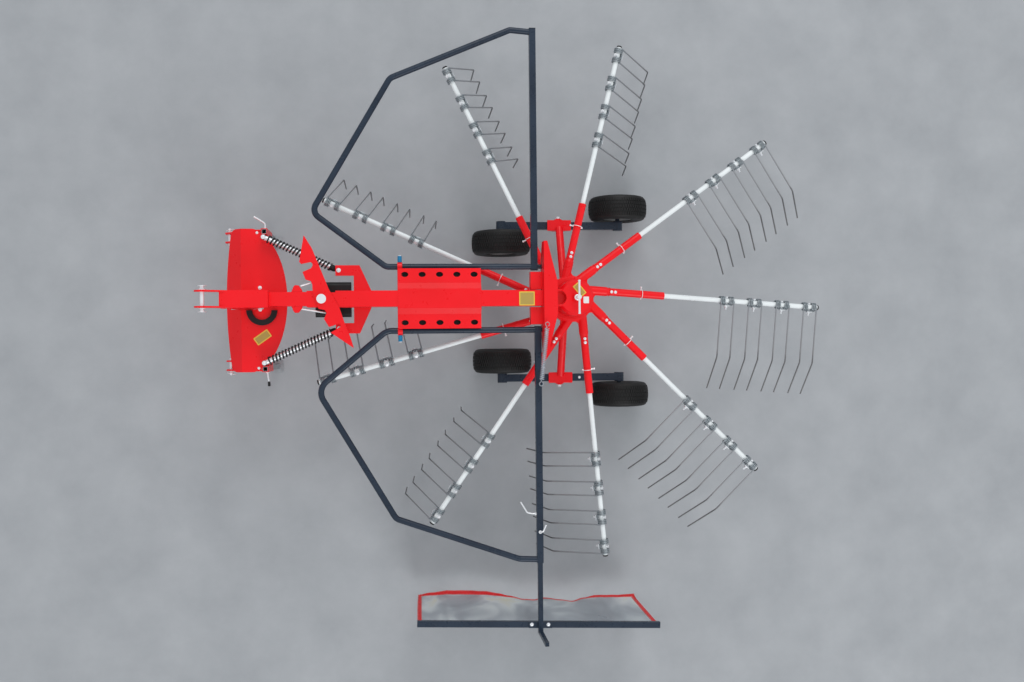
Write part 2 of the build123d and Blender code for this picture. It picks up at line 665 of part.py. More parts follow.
def make_knobs():
    """Lock knobs on the two hinge collars."""
    start = GUARD_HINGE_Y + COLLAR_R + SEAT
    ends = ((start, start + KNOB_LENGTH), (-start, -start - KNOB_LENGTH))
    return Compound([rod((COLLAR_X, a, GUARD_Z), (COLLAR_X, b, GUARD_Z), KNOB_R) for a, b in ends])


def make_balance_spring():
    """Tension spring between the bracket's hook and the left guard's post."""
    z = SPRING_Z
    a, b = Vector(*SPRING_HOOK, z), Vector(GUARD_LEFT_X, SPRING_POST_Y, z)
    along = (b - a).normalized()
    p, q = a + along * 24, b - along * 24
    spring = rod((p.X, p.Y, z), (q.X, q.Y, z), SPRING_R)
    for point, toward in ((a, 1), (b, -1)):
        eye = Cylinder(SPRING_EYE_R, 6) - Cylinder(SPRING_PIN_R + SEAT, 6)
        start, stop = point + along * (toward * 12), point + along * (toward * 26)
        spring += Pos(point.X, point.Y, z) * eye
        spring += rod((start.X, start.Y, z), (stop.X, stop.Y, z), SPRING_WIRE_R)
    return spring


# ------------------------------------------------------------------------------ swath curtain
def curtain_place():
    """Location of the curtain's bar: turned on the tube's end, its middle under the tube."""
    return Pos(GUARD_LEFT_X, CURTAIN_Y, 0) * Rot(0, 0, CURTAIN_YAW)


def make_curtain_frame():
    """Sliding tube with the curtain's bar, its clamp and the height post."""
    half, x = CURTAIN_TUBE / 2, GUARD_LEFT_X
    top = GUARD_Z - half
    long, wide, post = CURTAIN_LENGTH / 2, BAR_W / 2, POST_W / 2
    post_y = CURTAIN_Y - wide - POST_W
    tube = box((x - half, x + half), (CURTAIN_TUBE_START, post_y), (top, GUARD_Z + half))
    bar = box((-long, long), (-wide, wide), (top - BAR_H, top))
    bar += box((-BAR_PLATE / 2, BAR_PLATE / 2), (-wide, wide), (top, top + BAR_PLATE_T))
    pillar = box((x - post, x + post), (post_y - post, post_y + post), (top - BAR_H, POST_TOP_Z))
    return tube + curtain_place() * bar + pillar


def make_curtain_sheet():
    """Swath curtain, the room of a hanging sheet that waves more towards its lower edge."""
    top = GUARD_Z - CURTAIN_TUBE / 2 - BAR_H - SEAT
    long = CURTAIN_LENGTH / 2 - SHEET_INSET
    section = [(-SHEET_TOP_T / 2, top), (SHEET_TOP_T / 2, top), (SHEET_LOW_T / 2, SHEET_LOW_Z),
               (-SHEET_LOW_T / 2, SHEET_LOW_Z)]
    return curtain_place() * across(section, -long, long)


# ------------------------------------------------------------------------------ headstock
def make_headstock_frame():
    """Lower cross tube, clevises for the lower links, leg sockets, mast, top ears and swivel clevis."""
    middle, gap, t = LINK_SPREAD / 2, LINK_GAP / 2, LINK_PLATE
    cross = (CROSS_FRONT, CROSS_FRONT + CROSS_TUBE)
    z = (LINK_Z - CROSS_TUBE / 2, LINK_Z + CROSS_TUBE / 2)
    frame = box(cross, (-middle - gap - 1, middle + gap + 1), z)
    frame += box(HEAD_X, (-EAR_Y - EAR_T / 2, EAR_Y + EAR_T / 2), HEAD_Z)
    frame += box((HEAD_X[1], NECK_BOX_END), (-NECK_BOX_HALF, NECK_BOX_HALF), (CLEVIS_LOW_Z, CLEVIS_TOP_Z))
    nose = LINK_X - LOWER_PIN_R - 14
    hitch = [(nose, LINK_Z - 28), (nose, LINK_Z + 28), (CROSS_FRONT - 10, z[1] + 40), (SHIELD_CREASE + 5, SHIELD_Z),
             (PLATE_REAR_X, SHIELD_Z), (PLATE_REAR_X, z[0] - 10), (CROSS_FRONT - 30, z[0] - 10)]
    mast = [(MAST_LOW[0], z[1]), (MAST_LOW[1], z[1]), (MAST_TOP[1], HEAD_Z[0]), (MAST_TOP[0], HEAD_Z[0])]
    for side in (RIGHT, LEFT):
        piece = upright(hitch, middle - gap - t, middle - gap)
        trimmed = upright(hitch, middle + gap, middle + gap + t)
        piece += trimmed - box((LEG_X, 0), (0, 2 * middle), (0, SHIELD_Z + 1))
        half, inner = LEG_SOCKET / 2, LEG_TUBE / 2 + SEAT
        x, y = (LEG_X - half, LEG_X + half), (LEG_Y - half, LEG_Y + half)
        piece += box(x, y, (SOCKET_LOW_Z, SOCKET_TOP_Z))
        for low in (SOCKET_LOW_Z + 20, SHIELD_Z - 60):
            piece += box(x, (middle - gap - 1, y[0] + 1), (low, low + 40))
        piece -= box((LEG_X - inner, LEG_X + inner), (LEG_Y - inner, LEG_Y + inner), (0, SOCKET_TOP_Z + 1))
        pin = (LINK_X, LINK_Z)
        piece -= rod((pin[0], middle - gap - t - 1, pin[1]), (pin[0], middle + gap + t + 1, pin[1]),
                     LOWER_PIN_R + RUNNING)
        piece += upright(mast, EAR_Y - EAR_T / 2, EAR_Y + EAR_T / 2)
        piece += upright(EAR_OUTLINE, EAR_Y - EAR_T / 2, EAR_Y + EAR_T / 2)
        frame += mirrored(piece, side)
    frame -= rod((TOP_PIN_X, -100, TOP_PIN_Z), (TOP_PIN_X, 100, TOP_PIN_Z), TOP_PIN_R + RUNNING)
    for low in (CLEVIS_LOW_Z, CLEVIS_TOP_Z - CLEVIS_T):
        frame += box((NECK_BOX_END - 5, 0), (-CLEVIS_R, CLEVIS_R), (low, low + CLEVIS_T))
        frame += rod((0, 0, low), (0, 0, low + CLEVIS_T), CLEVIS_R)
    frame -= rod((0, 0, CLEVIS_LOW_Z - 1), (0, 0, CLEVIS_TOP_Z + 1), SWIVEL_R + RUNNING)
    return Pos(PIVOT_X, 0, 0) * frame


def make_shield():
    """Half-moon shield over the lower links, with its front edge folded down."""
    crease, front, t = SHIELD_CREASE, SHIELD_FRONT - 6, SHIELD_T
    under, top = SHIELD_Z, SHIELD_Z + SHIELD_T
    profile = [(SHIELD_REAR + 10, under), (crease, under), (front, under - SHIELD_DROP),
               (front, under - SHIELD_DROP + t + 2), (crease - 2, top), (SHIELD_REAR + 10, top)]
    low = under - SHIELD_DROP - 10
    rear = Pos(SHIELD_REAR - SHIELD_REAR_A, 0, 0) * Ellipse(SHIELD_REAR_A, SHIELD_REAR_B)
    rear += Pos(SHIELD_REAR - SHIELD_REAR_A - 150, 0, 0) * Rectangle(300, 2 * SHIELD_REAR_B)
    sides = Pos(SHIELD_REAR - 200, 0, 0) * Rectangle(500, 2 * SHIELD_HALF)
    outline = rear & sides & (Pos(SHIELD_FRONT + SHIELD_FRONT_R, 0, 0) * Circle(SHIELD_FRONT_R))
    corners = [v for v in outline.vertices() if v.X < SHIELD_CREASE]
    outline = fillet(corners, 40)
    shield = upright(profile, -SHIELD_HALF - 1, SHIELD_HALF + 1)
    shield = shield & extrude(Pos(0, 0, low) * outline, top + 10 - low)
    ear = EAR_Y + EAR_T / 2 + 2
    shield -= box((MAST_LOW[0] - 25, MAST_TOP[1] + 5), (-ear, ear), (low, top + 1))
    half = LEG_SOCKET / 2 + 2
    for side in (RIGHT, LEFT):
        shield -= box((LEG_X - half, SHIELD_REAR), (side * (LEG_Y - half), side * (SHIELD_HALF + 9)),
                      (low, top + 1))
    return Pos(PIVOT_X, 0, 0) * shield


def make_strut_lugs():
    """Pins that hold the front eyes of the stabiliser struts, on the shield over the hitch plates."""
    x, y = STRUT_FRONT
    low = SHIELD_Z + SHIELD_T
    lugs = []
    for side in (RIGHT, LEFT):
        lug = rod((x, side * y, low), (x, side * y, STRUT_Z - EYE_H / 2 - SEAT), EYE_R)
        lugs.append(lug + rod((x, side * y, low), (x, side * y, STRUT_Z + EYE_H / 2 + 8), EYE_PIN_R))
    return Pos(PIVOT_X, 0, 0) * Compound(lugs)


def make_link_pins():
    """Top link pin and the two lower link pins in their clevises."""
    middle = LINK_SPREAD / 2
    reach = LINK_GAP / 2 + LINK_PLATE + PIN_OVER
    half = TOP_PIN_HALF
    pins = [rod((TOP_PIN_X, -half, TOP_PIN_Z), (TOP_PIN_X, half, TOP_PIN_Z), TOP_PIN_R)]
    for side in (RIGHT, LEFT):
        y = (side * (middle - reach), side * (middle + reach))
        pins.append(rod((LINK_X, y[0], LINK_Z), (LINK_X, y[1], LINK_Z), LOWER_PIN_R))
    return Pos(PIVOT_X, 0, 0) * Compound(pins)


def make_shaft_hook():
    """Hook on the shield that holds the tractor's drive shaft when parked."""
    low = SHIELD_Z + SHIELD_T
    ring = Cylinder(HOOK_R, HOOK_T) - Cylinder(HOOK_R - HOOK_BAND, HOOK_T)
    ring -= Pos(0, HOOK_R, 0) * Box(2 * HOOK_R + 1, 2 * HOOK_R, HOOK_T)
    return Pos(PIVOT_X + HOOK_X, HOOK_Y, low + HOOK_T / 2) * ring


def make_leg(side):
    """Parking leg of square tube with its foot."""
    half, inner, foot = LEG_TUBE / 2, LEG_TUBE / 2 - LEG_WALL, FOOT / 2
    x, y = PIVOT_X + LEG_X, side * LEG_Y
    leg = box((x - half, x + half), (y - half, y + half), (FOOT_T, LEG_TOP_Z))
    leg -= box((x - inner, x + inner), (y - inner, y + inner), (FOOT_T, LEG_TOP_Z + 1))
    return leg + box((x - foot, x + foot), (y - foot, y + foot), (0, FOOT_T))


def make_strut(side):
    """Stabiliser strut: two eyes, a rod and a coil spring's outer shape."""
    a, b = Vector(*STRUT_FRONT), Vector(*STRUT_REAR)
    length = (b - a).length
    along = (b - a).normalized()
    spans = [(EYE_R - 4, length - EYE_R + 4, STRUT_ROD_R), (34, length - 60, STRUT_SPRING_R),
             (length - 60, length - 26, STRUT_CAP_R)]
    strut = Part()
    for point in (a, b):
        strut += Pos(point.X, point.Y, STRUT_Z) * Cylinder(EYE_R, EYE_H)
    for start, end, radius in spans:
        p, q = a + along * start, a + along * end
        strut += rod((p.X, p.Y, STRUT_Z), (q.X, q.Y, STRUT_Z), radius)
    for point in (a, b):
        strut -= Pos(point.X, point.Y, STRUT_Z) * Cylinder(EYE_PIN_R + SEAT, EYE_H + 2)
    return Pos(PIVOT_X, 0, 0) * mirrored(strut, side)


def build():
    """All pieces by node name, about the rotor's axis."""
    nodes = {
        "drawbar": make_drawbar(),
        "lock_plate": make_lock_plate(),
        "front_yoke": make_yoke(),
        "shaft_shroud": make_shroud(),
        "drive_shaft": make_drive_shaft(),
        "cover_plate": make_cover_plate(),
        "cross_bracket": make_cross_bracket(),
        "gearbox_housing": make_housing(),
        "height_crank": make_crank(),
        "rotor_column": make_column(),
        "axle": make_axle(),
        "guard_lock_knobs": make_knobs(),
        "balance_spring": make_balance_spring(),
        "swivel_pin": make_swivel_pin(),
        "headstock_frame": make_headstock_frame(),
        "headstock_shield": make_shield(),
        "strut_lugs": make_strut_lugs(),
        "link_pins": make_link_pins(),
        "shaft_hook": make_shaft_hook(),
        "guard_right": make_guard(RIGHT, GUARD_RIGHT_X, RIGHT_LOOP, RIGHT_REACH),
        "guard_left": make_guard(LEFT, GUARD_LEFT_X, LEFT_LOOP, LEFT_REACH),
        "curtain_frame": make_curtain_frame(),
        "curtain_sheet": make_curtain_sheet(),
        "rotor_hub": make_hub(),
    }
    for side, word in ((RIGHT, "right"), (LEFT, "left")):
        nodes[f"bogie_{word}"] = make_bogie(side)
        nodes[f"leg_{word}"] = make_leg(side)
        nodes[f"strut_{word}"] = make_strut(side)
    for name, x, y, side in wheel_places():
        nodes[f"tyre_{name}"] = Pos(x, y, AXLE_Z) * make_tyre()
        nodes[f"rim_{name}"] = Pos(x, y, AXLE_Z) * make_rim(side)
    nodes["tine_arms"] = Compound([make_arm(n) for n in range(ARM_COUNT)])
    pair = make_double_tine()
    for n in range(ARM_COUNT):
        nodes[f"tines_{n + 1}"] = make_tines(n, pair)
    return nodes


os.makedirs("parts", exist_ok=True)
for name, shape in build().items():
    export_step(Pos(ROTOR_X, ROTOR_Y, 0) * shape, f"parts/{name}.step")
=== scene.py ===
"""Looks of the single rotor hay rake: paint, spring tines, tyres, coil springs, curtain, bolts and pins.

Metres, in the row frame: +X is the rear of the machine, +Y its right-hand side, +Z up. Places are given from
the rotor's axis at the ground; the sizes of arms, tines and springs repeat the construction's.
"""
import json
from math import atan2, cos, hypot, pi, radians, sin

import bmesh
import bpy
from mathutils import Matrix, Vector


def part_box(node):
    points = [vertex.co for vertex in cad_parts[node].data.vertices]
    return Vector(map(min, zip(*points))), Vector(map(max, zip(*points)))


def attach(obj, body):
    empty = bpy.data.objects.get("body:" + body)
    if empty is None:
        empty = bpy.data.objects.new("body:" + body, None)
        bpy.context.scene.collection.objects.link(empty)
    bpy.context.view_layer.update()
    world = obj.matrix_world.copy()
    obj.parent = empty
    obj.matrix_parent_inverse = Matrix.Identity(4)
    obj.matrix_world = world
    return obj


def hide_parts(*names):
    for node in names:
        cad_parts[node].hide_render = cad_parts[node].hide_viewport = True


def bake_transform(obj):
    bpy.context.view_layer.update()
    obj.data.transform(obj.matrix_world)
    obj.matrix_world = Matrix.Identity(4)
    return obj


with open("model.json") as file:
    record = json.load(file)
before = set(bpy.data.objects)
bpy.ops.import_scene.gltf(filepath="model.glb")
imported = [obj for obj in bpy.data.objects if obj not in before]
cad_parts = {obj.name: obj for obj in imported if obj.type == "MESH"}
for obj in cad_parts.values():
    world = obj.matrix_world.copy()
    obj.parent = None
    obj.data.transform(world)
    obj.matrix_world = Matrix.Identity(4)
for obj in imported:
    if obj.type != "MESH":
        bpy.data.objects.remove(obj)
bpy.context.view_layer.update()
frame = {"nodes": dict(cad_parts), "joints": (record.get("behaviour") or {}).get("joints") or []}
JOINTS = {joint["name"]: joint for joint in frame["joints"]}
SIDES = {"right": 1, "left": -1}
WHEELS = ("front_right", "rear_right", "front_left", "rear_left")
ROTOR = Vector((*JOINTS["rotor_turn"]["pos_m"][:2], 0.0))

# tine arms, as in the construction
ARM_COUNT = 9
ARM_FIRST = -4.34
ARM_Z = 0.685
ARM_DROOP = 3.0
ARM_OFFSET = 0.065
ARM_R = 0.016
ARM_END = 1.7068
BOSS_END = 0.232
SOCKET_R = 0.0245
TINE_FIRST = 1.063
TINE_PITCH = 0.19525
TINE_PAIRS = 4
CAM_ROLL = (88.0, 81.0, 42.0, 32.0, 30.0, 38.0, 32.0, 52.0, 86.0)

# spring tines: coils with a half turn left for the clamped loop
WIRE_R = 0.0048
COIL_R = 0.026
COIL_START = 0.0165
COIL_LENGTH = 0.029
COIL_TURNS = 2.75
TINE_UPPER = 0.378
TINE_LOWER = 0.263
TINE_KINK = radians(34.0)

# places of the other moving parts, from the rotor's axis
GUARD_X = {"right": -0.258, "left": -0.238}
GUARD_Z = 0.84
CURTAIN_Y = -2.074
CURTAIN_YAW = radians(-2.5)
CURTAIN_LENGTH = 1.56
BAR_UNDER = 0.795
SHEET_LOW = 0.105
BEAM_TOP = 0.9
SHIELD_TOP = 0.705
TOP_LINK = Vector((-2.285, 0.0, 0.985))
KNOB_X = -1.105
UP, DOWN = (0, 0, 1), (0, 0, -1)
STRUT_ENDS = ((-1.946, 0.392, 0.757), (-1.484, 0.182, 0.757))
SPRING_ENDS = ((-0.196, -0.167, 0.973), (-0.238, -0.538, 0.973))


def at(x, y, z):
    """A place from the rotor's axis and the ground."""
    return ROTOR + Vector((x, y, z))


# ------------------------------------------------------------------------------ mesh helpers
def mesh_from(name, build):
    """Mesh filled by a function, its normals outwards."""
    shape = bmesh.new()
    build(shape)
    bmesh.ops.recalc_face_normals(shape, faces=shape.faces)
    mesh = bpy.data.meshes.new(name)
    shape.to_mesh(mesh)
    shape.free()
    return mesh


def aim(direction, start=(0, 0, 0)):
    """Placing that turns +Z to a direction at a start point."""
    turn = Vector(direction).to_track_quat("Z", "Y").to_matrix().to_4x4()
    return Matrix.Translation(start) @ turn


def turned(profile, sides=32):
    """Solid of revolution about Z from radius, height corners."""

    def build(shape):
        rings = []
        for radius, height in profile:
            count = 1 if radius < 1e-6 else sides
            angles = [2 * pi * k / sides for k in range(count)]
            rings.append([shape.verts.new((radius * cos(a), radius * sin(a), height)) for a in angles])
        for low, high in zip(rings, rings[1:]):
            for k in range(sides):
                n = (k + 1) % sides
                corners = [low[k % len(low)], low[n % len(low)], high[n % len(high)], high[k % len(high)]]
                corners = list(dict.fromkeys(corners))
                if len(corners) > 2:
                    shape.faces.new(corners)

    return mesh_from("turned", build)


def rod(start, end, radius, sides=20, chamfer=0.001):
    """Round bar with chamfered ends between two points."""
    start, end = Vector(start), Vector(end)
    long, c = (end - start).length, chamfer
    profile = [(0, 0), (radius - c, 0), (radius, c), (radius, long - c), (radius - c, long), (0, long)]
    mesh = turned(profile, sides)
    mesh.transform(aim(end - start, start))
    return mesh


def slab(corners, thickness, place=Matrix.Identity(4), chamfer=0.0):
    """Flat plate from plan corners, its underside at z = 0, with chamfered top edges."""

    def build(shape):
        low, top = ([shape.verts.new((x, y, z)) for x, y in corners] for z in (0, thickness))
        shape.faces.new(low)
        shape.faces.new(top)
        for wall in zip(low, low[1:] + low[:1], top[1:] + top[:1], top):
            shape.faces.new(wall)
        if chamfer:
            edges = [e for e in shape.edges if all(v.co.z > thickness / 2 for v in e.verts)]
            bmesh.ops.bevel(shape, geom=edges, offset=chamfer, segments=2, affect="EDGES")

    mesh = mesh_from("slab", build)
    mesh.transform(place)
    return mesh


def rounded(x, y, radius):
    """Plan corners of a rectangle x by y with round corners."""
    corners, steps = [], 4
    for cx, cy, start in ((1, 1, 0), (-1, 1, 90), (-1, -1, 180), (1, -1, 270)):
        for k in range(steps + 1):
            a = radians(start + 90 * k / steps)
            corners.append((cx * (x / 2 - radius) + radius * cos(a), cy * (y / 2 - radius) + radius * sin(a)))
    return corners


def joined(name, meshes):
    """One mesh from several."""
    shape = bmesh.new()
    for mesh in meshes:
        shape.from_mesh(mesh)
    whole = bpy.data.meshes.new(name)
    shape.to_mesh(whole)
    shape.free()
    return whole


def moved(mesh, place):
    """Placed copy of a mesh."""
    copy = mesh.copy()
    copy.transform(place)
    return copy


def outward(mesh, merge=0.0):
    """Turns a mesh's faces outwards; corners nearer than merge become one."""
    shape = bmesh.new()
    shape.from_mesh(mesh)
    if merge:
        bmesh.ops.remove_doubles(shape, verts=shape.verts, dist=merge)
    bmesh.ops.recalc_face_normals(shape, faces=shape.faces)
    shape.to_mesh(mesh)
    shape.free()
    return mesh


def in_scene(name, data):
    """New object in the scene."""
    thing = bpy.data.objects.new(name, data)
    bpy.context.scene.collection.objects.link(thing)
    return thing


def piece(name, mesh, finish=None, body=None, stands_for=(), sharp=35.0):
    """Finished object at the origin, with its finish and body."""
    thing = in_scene(name, mesh)
    if finish is not None:
        mesh.materials.clear()
        mesh.materials.append(finish)
    mesh.polygons.foreach_set("use_smooth", [True] * len(mesh.polygons))
    mesh.set_sharp_from_angle(angle=radians(sharp))
    if stands_for:
        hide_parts(*stands_for)
    if body:
        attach(thing, body)
    return thing


# ------------------------------------------------------------------------------ nodes
def feed(tree, socket, value):
    """Links a socket to the one that feeds it, or sets its constant."""
    if isinstance(value, bpy.types.NodeSocket):
        tree.links.new(value, socket)
    else:
        socket.default_value = value


def add_node(tree, kind, feeds, settings):
    """New node with its settings and what feeds its sockets; a list feeds one socket several times."""
    node = tree.nodes.new(kind)
    for key, value in settings.items():
        setattr(node, key, value)
    for name, value in (feeds or {}).items():
        for one in value if isinstance(value, list) else [value]:
            feed(tree, node.inputs[name], one)
    return node


def rgba(value):
    """Colour with its alpha; a socket or a number stays as it is."""
    return (*value, 1.0) if isinstance(value, tuple) else value


# ------------------------------------------------------------------------------ geometry node jigs
class Jig:
    """Node tree for one kind of repeated part: named sizes, a finish, Realize Instances and Set Material."""

    def __init__(self, name, **sizes):
        self.tree = bpy.data.node_groups.new(name, "GeometryNodeTree")
        self.keys = {}
        self.socket("Base", "NodeSocketGeometry")
        for label, value in sizes.items():
            kind = "NodeSocketInt" if isinstance(value, int) else "NodeSocketFloat"
            self.socket(label, kind).default_value = value
        self.socket("Finish", "NodeSocketMaterial")
        self.tree.interface.new_socket("Part", in_out="OUTPUT", socket_type="NodeSocketGeometry")
        group_input = self.tree.nodes.new("NodeGroupInput")
        self.given = {socket.name: socket for socket in group_input.outputs if socket.name}

    def socket(self, label, kind):
        """Adds a named size or input to the tree."""
        new = self.tree.interface.new_socket(label, in_out="INPUT", socket_type=kind)
        self.keys[label] = new.identifier
        return new

    def put(self, kind, feeds=None, **settings):
        """Adds a node and returns its first output."""
        return add_node(self.tree, kind, feeds, settings).outputs[0]

    def sum(self, operation, a, b):
        return self.put("ShaderNodeMath", {0: a, 1: b}, operation=operation)

    def point(self, x, y, z):
        return self.put("ShaderNodeCombineXYZ", {0: x, 1: y, 2: z})

    def path(self, points, bend):
        """Curve through points with filleted corners."""
        line = self.put("GeometryNodeMeshLine", {"Count": len(points)})
        switch = self.tree.nodes.new("GeometryNodeIndexSwitch")
        switch.data_type = "VECTOR"
        while len(switch.index_switch_items) < len(points):
            switch.index_switch_items.new()
        self.tree.links.new(self.put("GeometryNodeInputIndex"), switch.inputs[0])
        for number, point in enumerate(points):
            self.tree.links.new(point, switch.inputs[number + 1])
        line = self.put("GeometryNodeSetPosition", {"Geometry": line, "Position": switch.outputs[0]})
        curve = self.put("GeometryNodeMeshToCurve", {"Mesh": line})
        return self.filleted(curve, bend)

    def filleted(self, curve, bend):
        """Curve with its corners rounded in six steps."""
        feeds = {"Curve": curve, "Count": 6, "Radius": bend, "Limit Radius": True}
        return self.put("GeometryNodeFilletCurve", feeds, mode="POLY")

    def wire(self, curve, radius, sides=8):
        """Round wire along a curve."""
        ring = self.put("GeometryNodeCurvePrimitiveCircle", {"Resolution": sides, "Radius": radius})
        return self.put("GeometryNodeCurveToMesh", {"Curve": curve, "Profile Curve": ring, "Fill Caps": True})

    def spiral(self, radius, turns, height, steps):
        """Helix about Z with this many points in a turn."""
        feeds = {"Resolution": steps, "Rotations": turns, "Height": height}
        return self.put("GeometryNodeCurveSpiral", {**feeds, "Start Radius": radius, "End Radius": radius})

    def shift(self, part, move=(0, 0, 0), turn=(0, 0, 0), scale=(1, 1, 1)):
        feeds = {"Geometry": part, "Translation": move, "Rotation": turn, "Scale": scale}
        return self.put("GeometryNodeTransform", feeds)

    def cylinder(self, radius, depth, sides=6, z=0.0):
        """Capped cylinder standing on height z."""
        feeds = {"Vertices": sides, "Radius": radius, "Depth": depth}
        return self.shift(self.put("GeometryNodeMeshCylinder", feeds), (0, 0, z + depth / 2))

    def spaced(self, part, step, scale=(1, 1, 1)):
        """Instances of a part at even steps along the base's lines."""
        curve = self.put("GeometryNodeMeshToCurve", {"Mesh": self.given["Base"]})
        feeds = {"Curve": curve, "Length": step}
        points = add_node(self.tree, "GeometryNodeCurveToPoints", feeds, {"mode": "LENGTH"}).outputs
        feeds = {"Points": points["Points"], "Rotation": points["Rotation"], "Instance": part, "Scale": scale}
        return self.put("GeometryNodeInstanceOnPoints", feeds)

    def together(self, *parts):
        return self.put("GeometryNodeJoinGeometry", {"Geometry": list(reversed(parts))})

    def done(self, part):
        part = self.put("GeometryNodeRealizeInstances", {"Geometry": part})
        part = self.put("GeometryNodeSetMaterial", {"Geometry": part, "Material": self.given["Finish"]})
        output = self.tree.nodes.new("NodeGroupOutput")
        self.tree.links.new(part, output.inputs[0])
        return self


def made(jig, finish, base=None, **sizes):
    """Plain mesh from a jig with these sizes."""
    holder = in_scene("holder", base or bpy.data.meshes.new("base"))
    modifier = holder.modifiers.new("jig", "NODES")
    modifier.node_group = jig.tree
    for label, value in sizes.items():
        modifier[jig.keys[label]] = value
    modifier[jig.keys["Finish"]] = finish
    bpy.context.view_layer.update()
    graph = bpy.context.evaluated_depsgraph_get()
    mesh = bpy.data.meshes.new_from_object(holder.evaluated_get(graph), depsgraph=graph)
    holder.modifiers.clear()
    bpy.data.objects.remove(holder)
    return mesh


def polyline(*lines):
    """Base mesh of lines for the jigs that follow a path."""
    points, edges = [], []
    for line in lines:
        start = len(points)
        points += [tuple(p) for p in line]
        edges += [(start + k, start + k + 1) for k in range(len(line) - 1)]
    mesh = bpy.data.meshes.new("lines")
    mesh.from_pydata(points, edges, [])
    return mesh


def spots(places):
    """Base mesh of points with an axis and a size each."""
    mesh = bpy.data.meshes.new("spots")
    mesh.from_pydata([tuple(p) for p, _, _ in places], [], [])
    mesh.attributes.new("axis", "FLOAT_VECTOR", "POINT")
    mesh.attributes.new("size", "FLOAT", "POINT")
    for k, (_, direction, value) in enumerate(places):
        mesh.attributes["axis"].data[k].vector = Vector(direction).normalized()
        mesh.attributes["size"].data[k].value = value
    return mesh


def tine_jig():
    """Double tines along an arm: coil, clamped loop and kinked tine, and their mirror image."""
    jig = Jig(
        "double_tines", Wire=WIRE_R, Coil_radius=COIL_R, Coil_start=COIL_START, Coil_length=COIL_LENGTH,
        Turns=COIL_TURNS, Upper=TINE_UPPER, Lower=TINE_LOWER, Kink=TINE_KINK, Bend=0.045,
        First=TINE_FIRST, Pitch=TINE_PITCH, Pairs=TINE_PAIRS, Roll=0.0,
    )
    given = jig.given
    spiral = jig.spiral(given["Coil_radius"], given["Turns"], given["Coil_length"], 14)
    lay = Matrix(((0, 0, 1), (-1, 0, 0), (0, -1, 0))) @ Matrix.Rotation(pi / 2, 3, "Z")
    start = jig.point(given["Coil_start"], 0.0, 0.0)
    coil = jig.shift(spiral, start, tuple(lay.to_euler()))
    out = jig.sum("ADD", given["Coil_start"], given["Coil_length"])
    back = jig.sum("MULTIPLY", given["Coil_radius"], -1.0)
    knee = jig.sum("MULTIPLY", given["Upper"], -1.0)
    ahead = jig.sum("MULTIPLY", given["Lower"], jig.sum("SINE", given["Kink"], 0.0))
    down = jig.sum("MULTIPLY", given["Lower"], jig.sum("COSINE", given["Kink"], 0.0))
    leg = jig.path([
        jig.point(out, back, 0.0),
        jig.point(out, back, knee),
        jig.point(out, jig.sum("ADD", back, ahead), jig.sum("SUBTRACT", knee, down)),
    ], given["Bend"])
    loop = jig.path([
        jig.point(given["Coil_start"], 0.0, back),
        jig.point(given["Coil_start"], -0.013, back),
        jig.point(0.0, -0.013, back),
    ], 0.009)
    coil = jig.wire(coil, given["Wire"])
    leg = jig.wire(leg, given["Wire"])
    share = jig.put("ShaderNodeSeparateXYZ", {0: jig.put("GeometryNodeInputPosition")}).node.outputs[2]
    tip = jig.sum("SUBTRACT", knee, down)
    share = jig.put("ShaderNodeMapRange", {"Value": share, "From Min": -0.02, "From Max": tip})
    # the stored value is only the share of the way down the leg, from below the coil to the tip, for the
    # wire's colour
    leg = jig.put("GeometryNodeStoreNamedAttribute", {"Geometry": leg, "Name": "wear", "Value": share})
    half = jig.together(coil, leg, jig.wire(loop, given["Wire"]))
    other = jig.put("GeometryNodeFlipFaces", {"Mesh": jig.shift(half, scale=(-1, 1, 1))})
    return jig.done(along_arm(jig, jig.together(half, other)))


def along_arm(jig, part):
    """Instances of a part at the pairs' places on an arm, rolled back by the cam."""
    given = jig.given
    points = jig.put("GeometryNodeMeshLine", {
        "Count": given["Pairs"], "Start Location": jig.point(given["First"], 0.0, 0.0),
        "Offset": jig.point(given["Pitch"], 0.0, 0.0),
    })
    roll = jig.point(jig.sum("MULTIPLY", given["Roll"], -1.0), 0.0, 0.0)
    return jig.put("GeometryNodeInstanceOnPoints", {"Points": points, "Instance": part, "Rotation": roll})


def clamp_jig():
    """Bolt through the arm with its head, clamp plate, nut and thread end, one for each double tine."""
    jig = Jig("tine_clamps", First=TINE_FIRST, Pitch=TINE_PITCH, Pairs=TINE_PAIRS, Roll=0.0)
    seat = -(COIL_R + WIRE_R)
    plate = jig.put("GeometryNodeMeshCube", {"Size": (0.034, 0.036, 0.004)})
    parts = [
        jig.cylinder(0.006, 0.084, 10, -0.06),
        jig.cylinder(0.0105, 0.0085, 6, ARM_R + 0.003),
        jig.cylinder(0.013, 0.0025, 18, ARM_R + 0.0005),
        jig.shift(plate, (0, -0.004, seat - 0.002)),
        jig.cylinder(0.0135, 0.002, 18, seat - 0.006),
        jig.cylinder(0.0105, 0.0095, 6, seat - 0.0155),
    ]
    return jig.done(along_arm(jig, jig.together(*parts)))


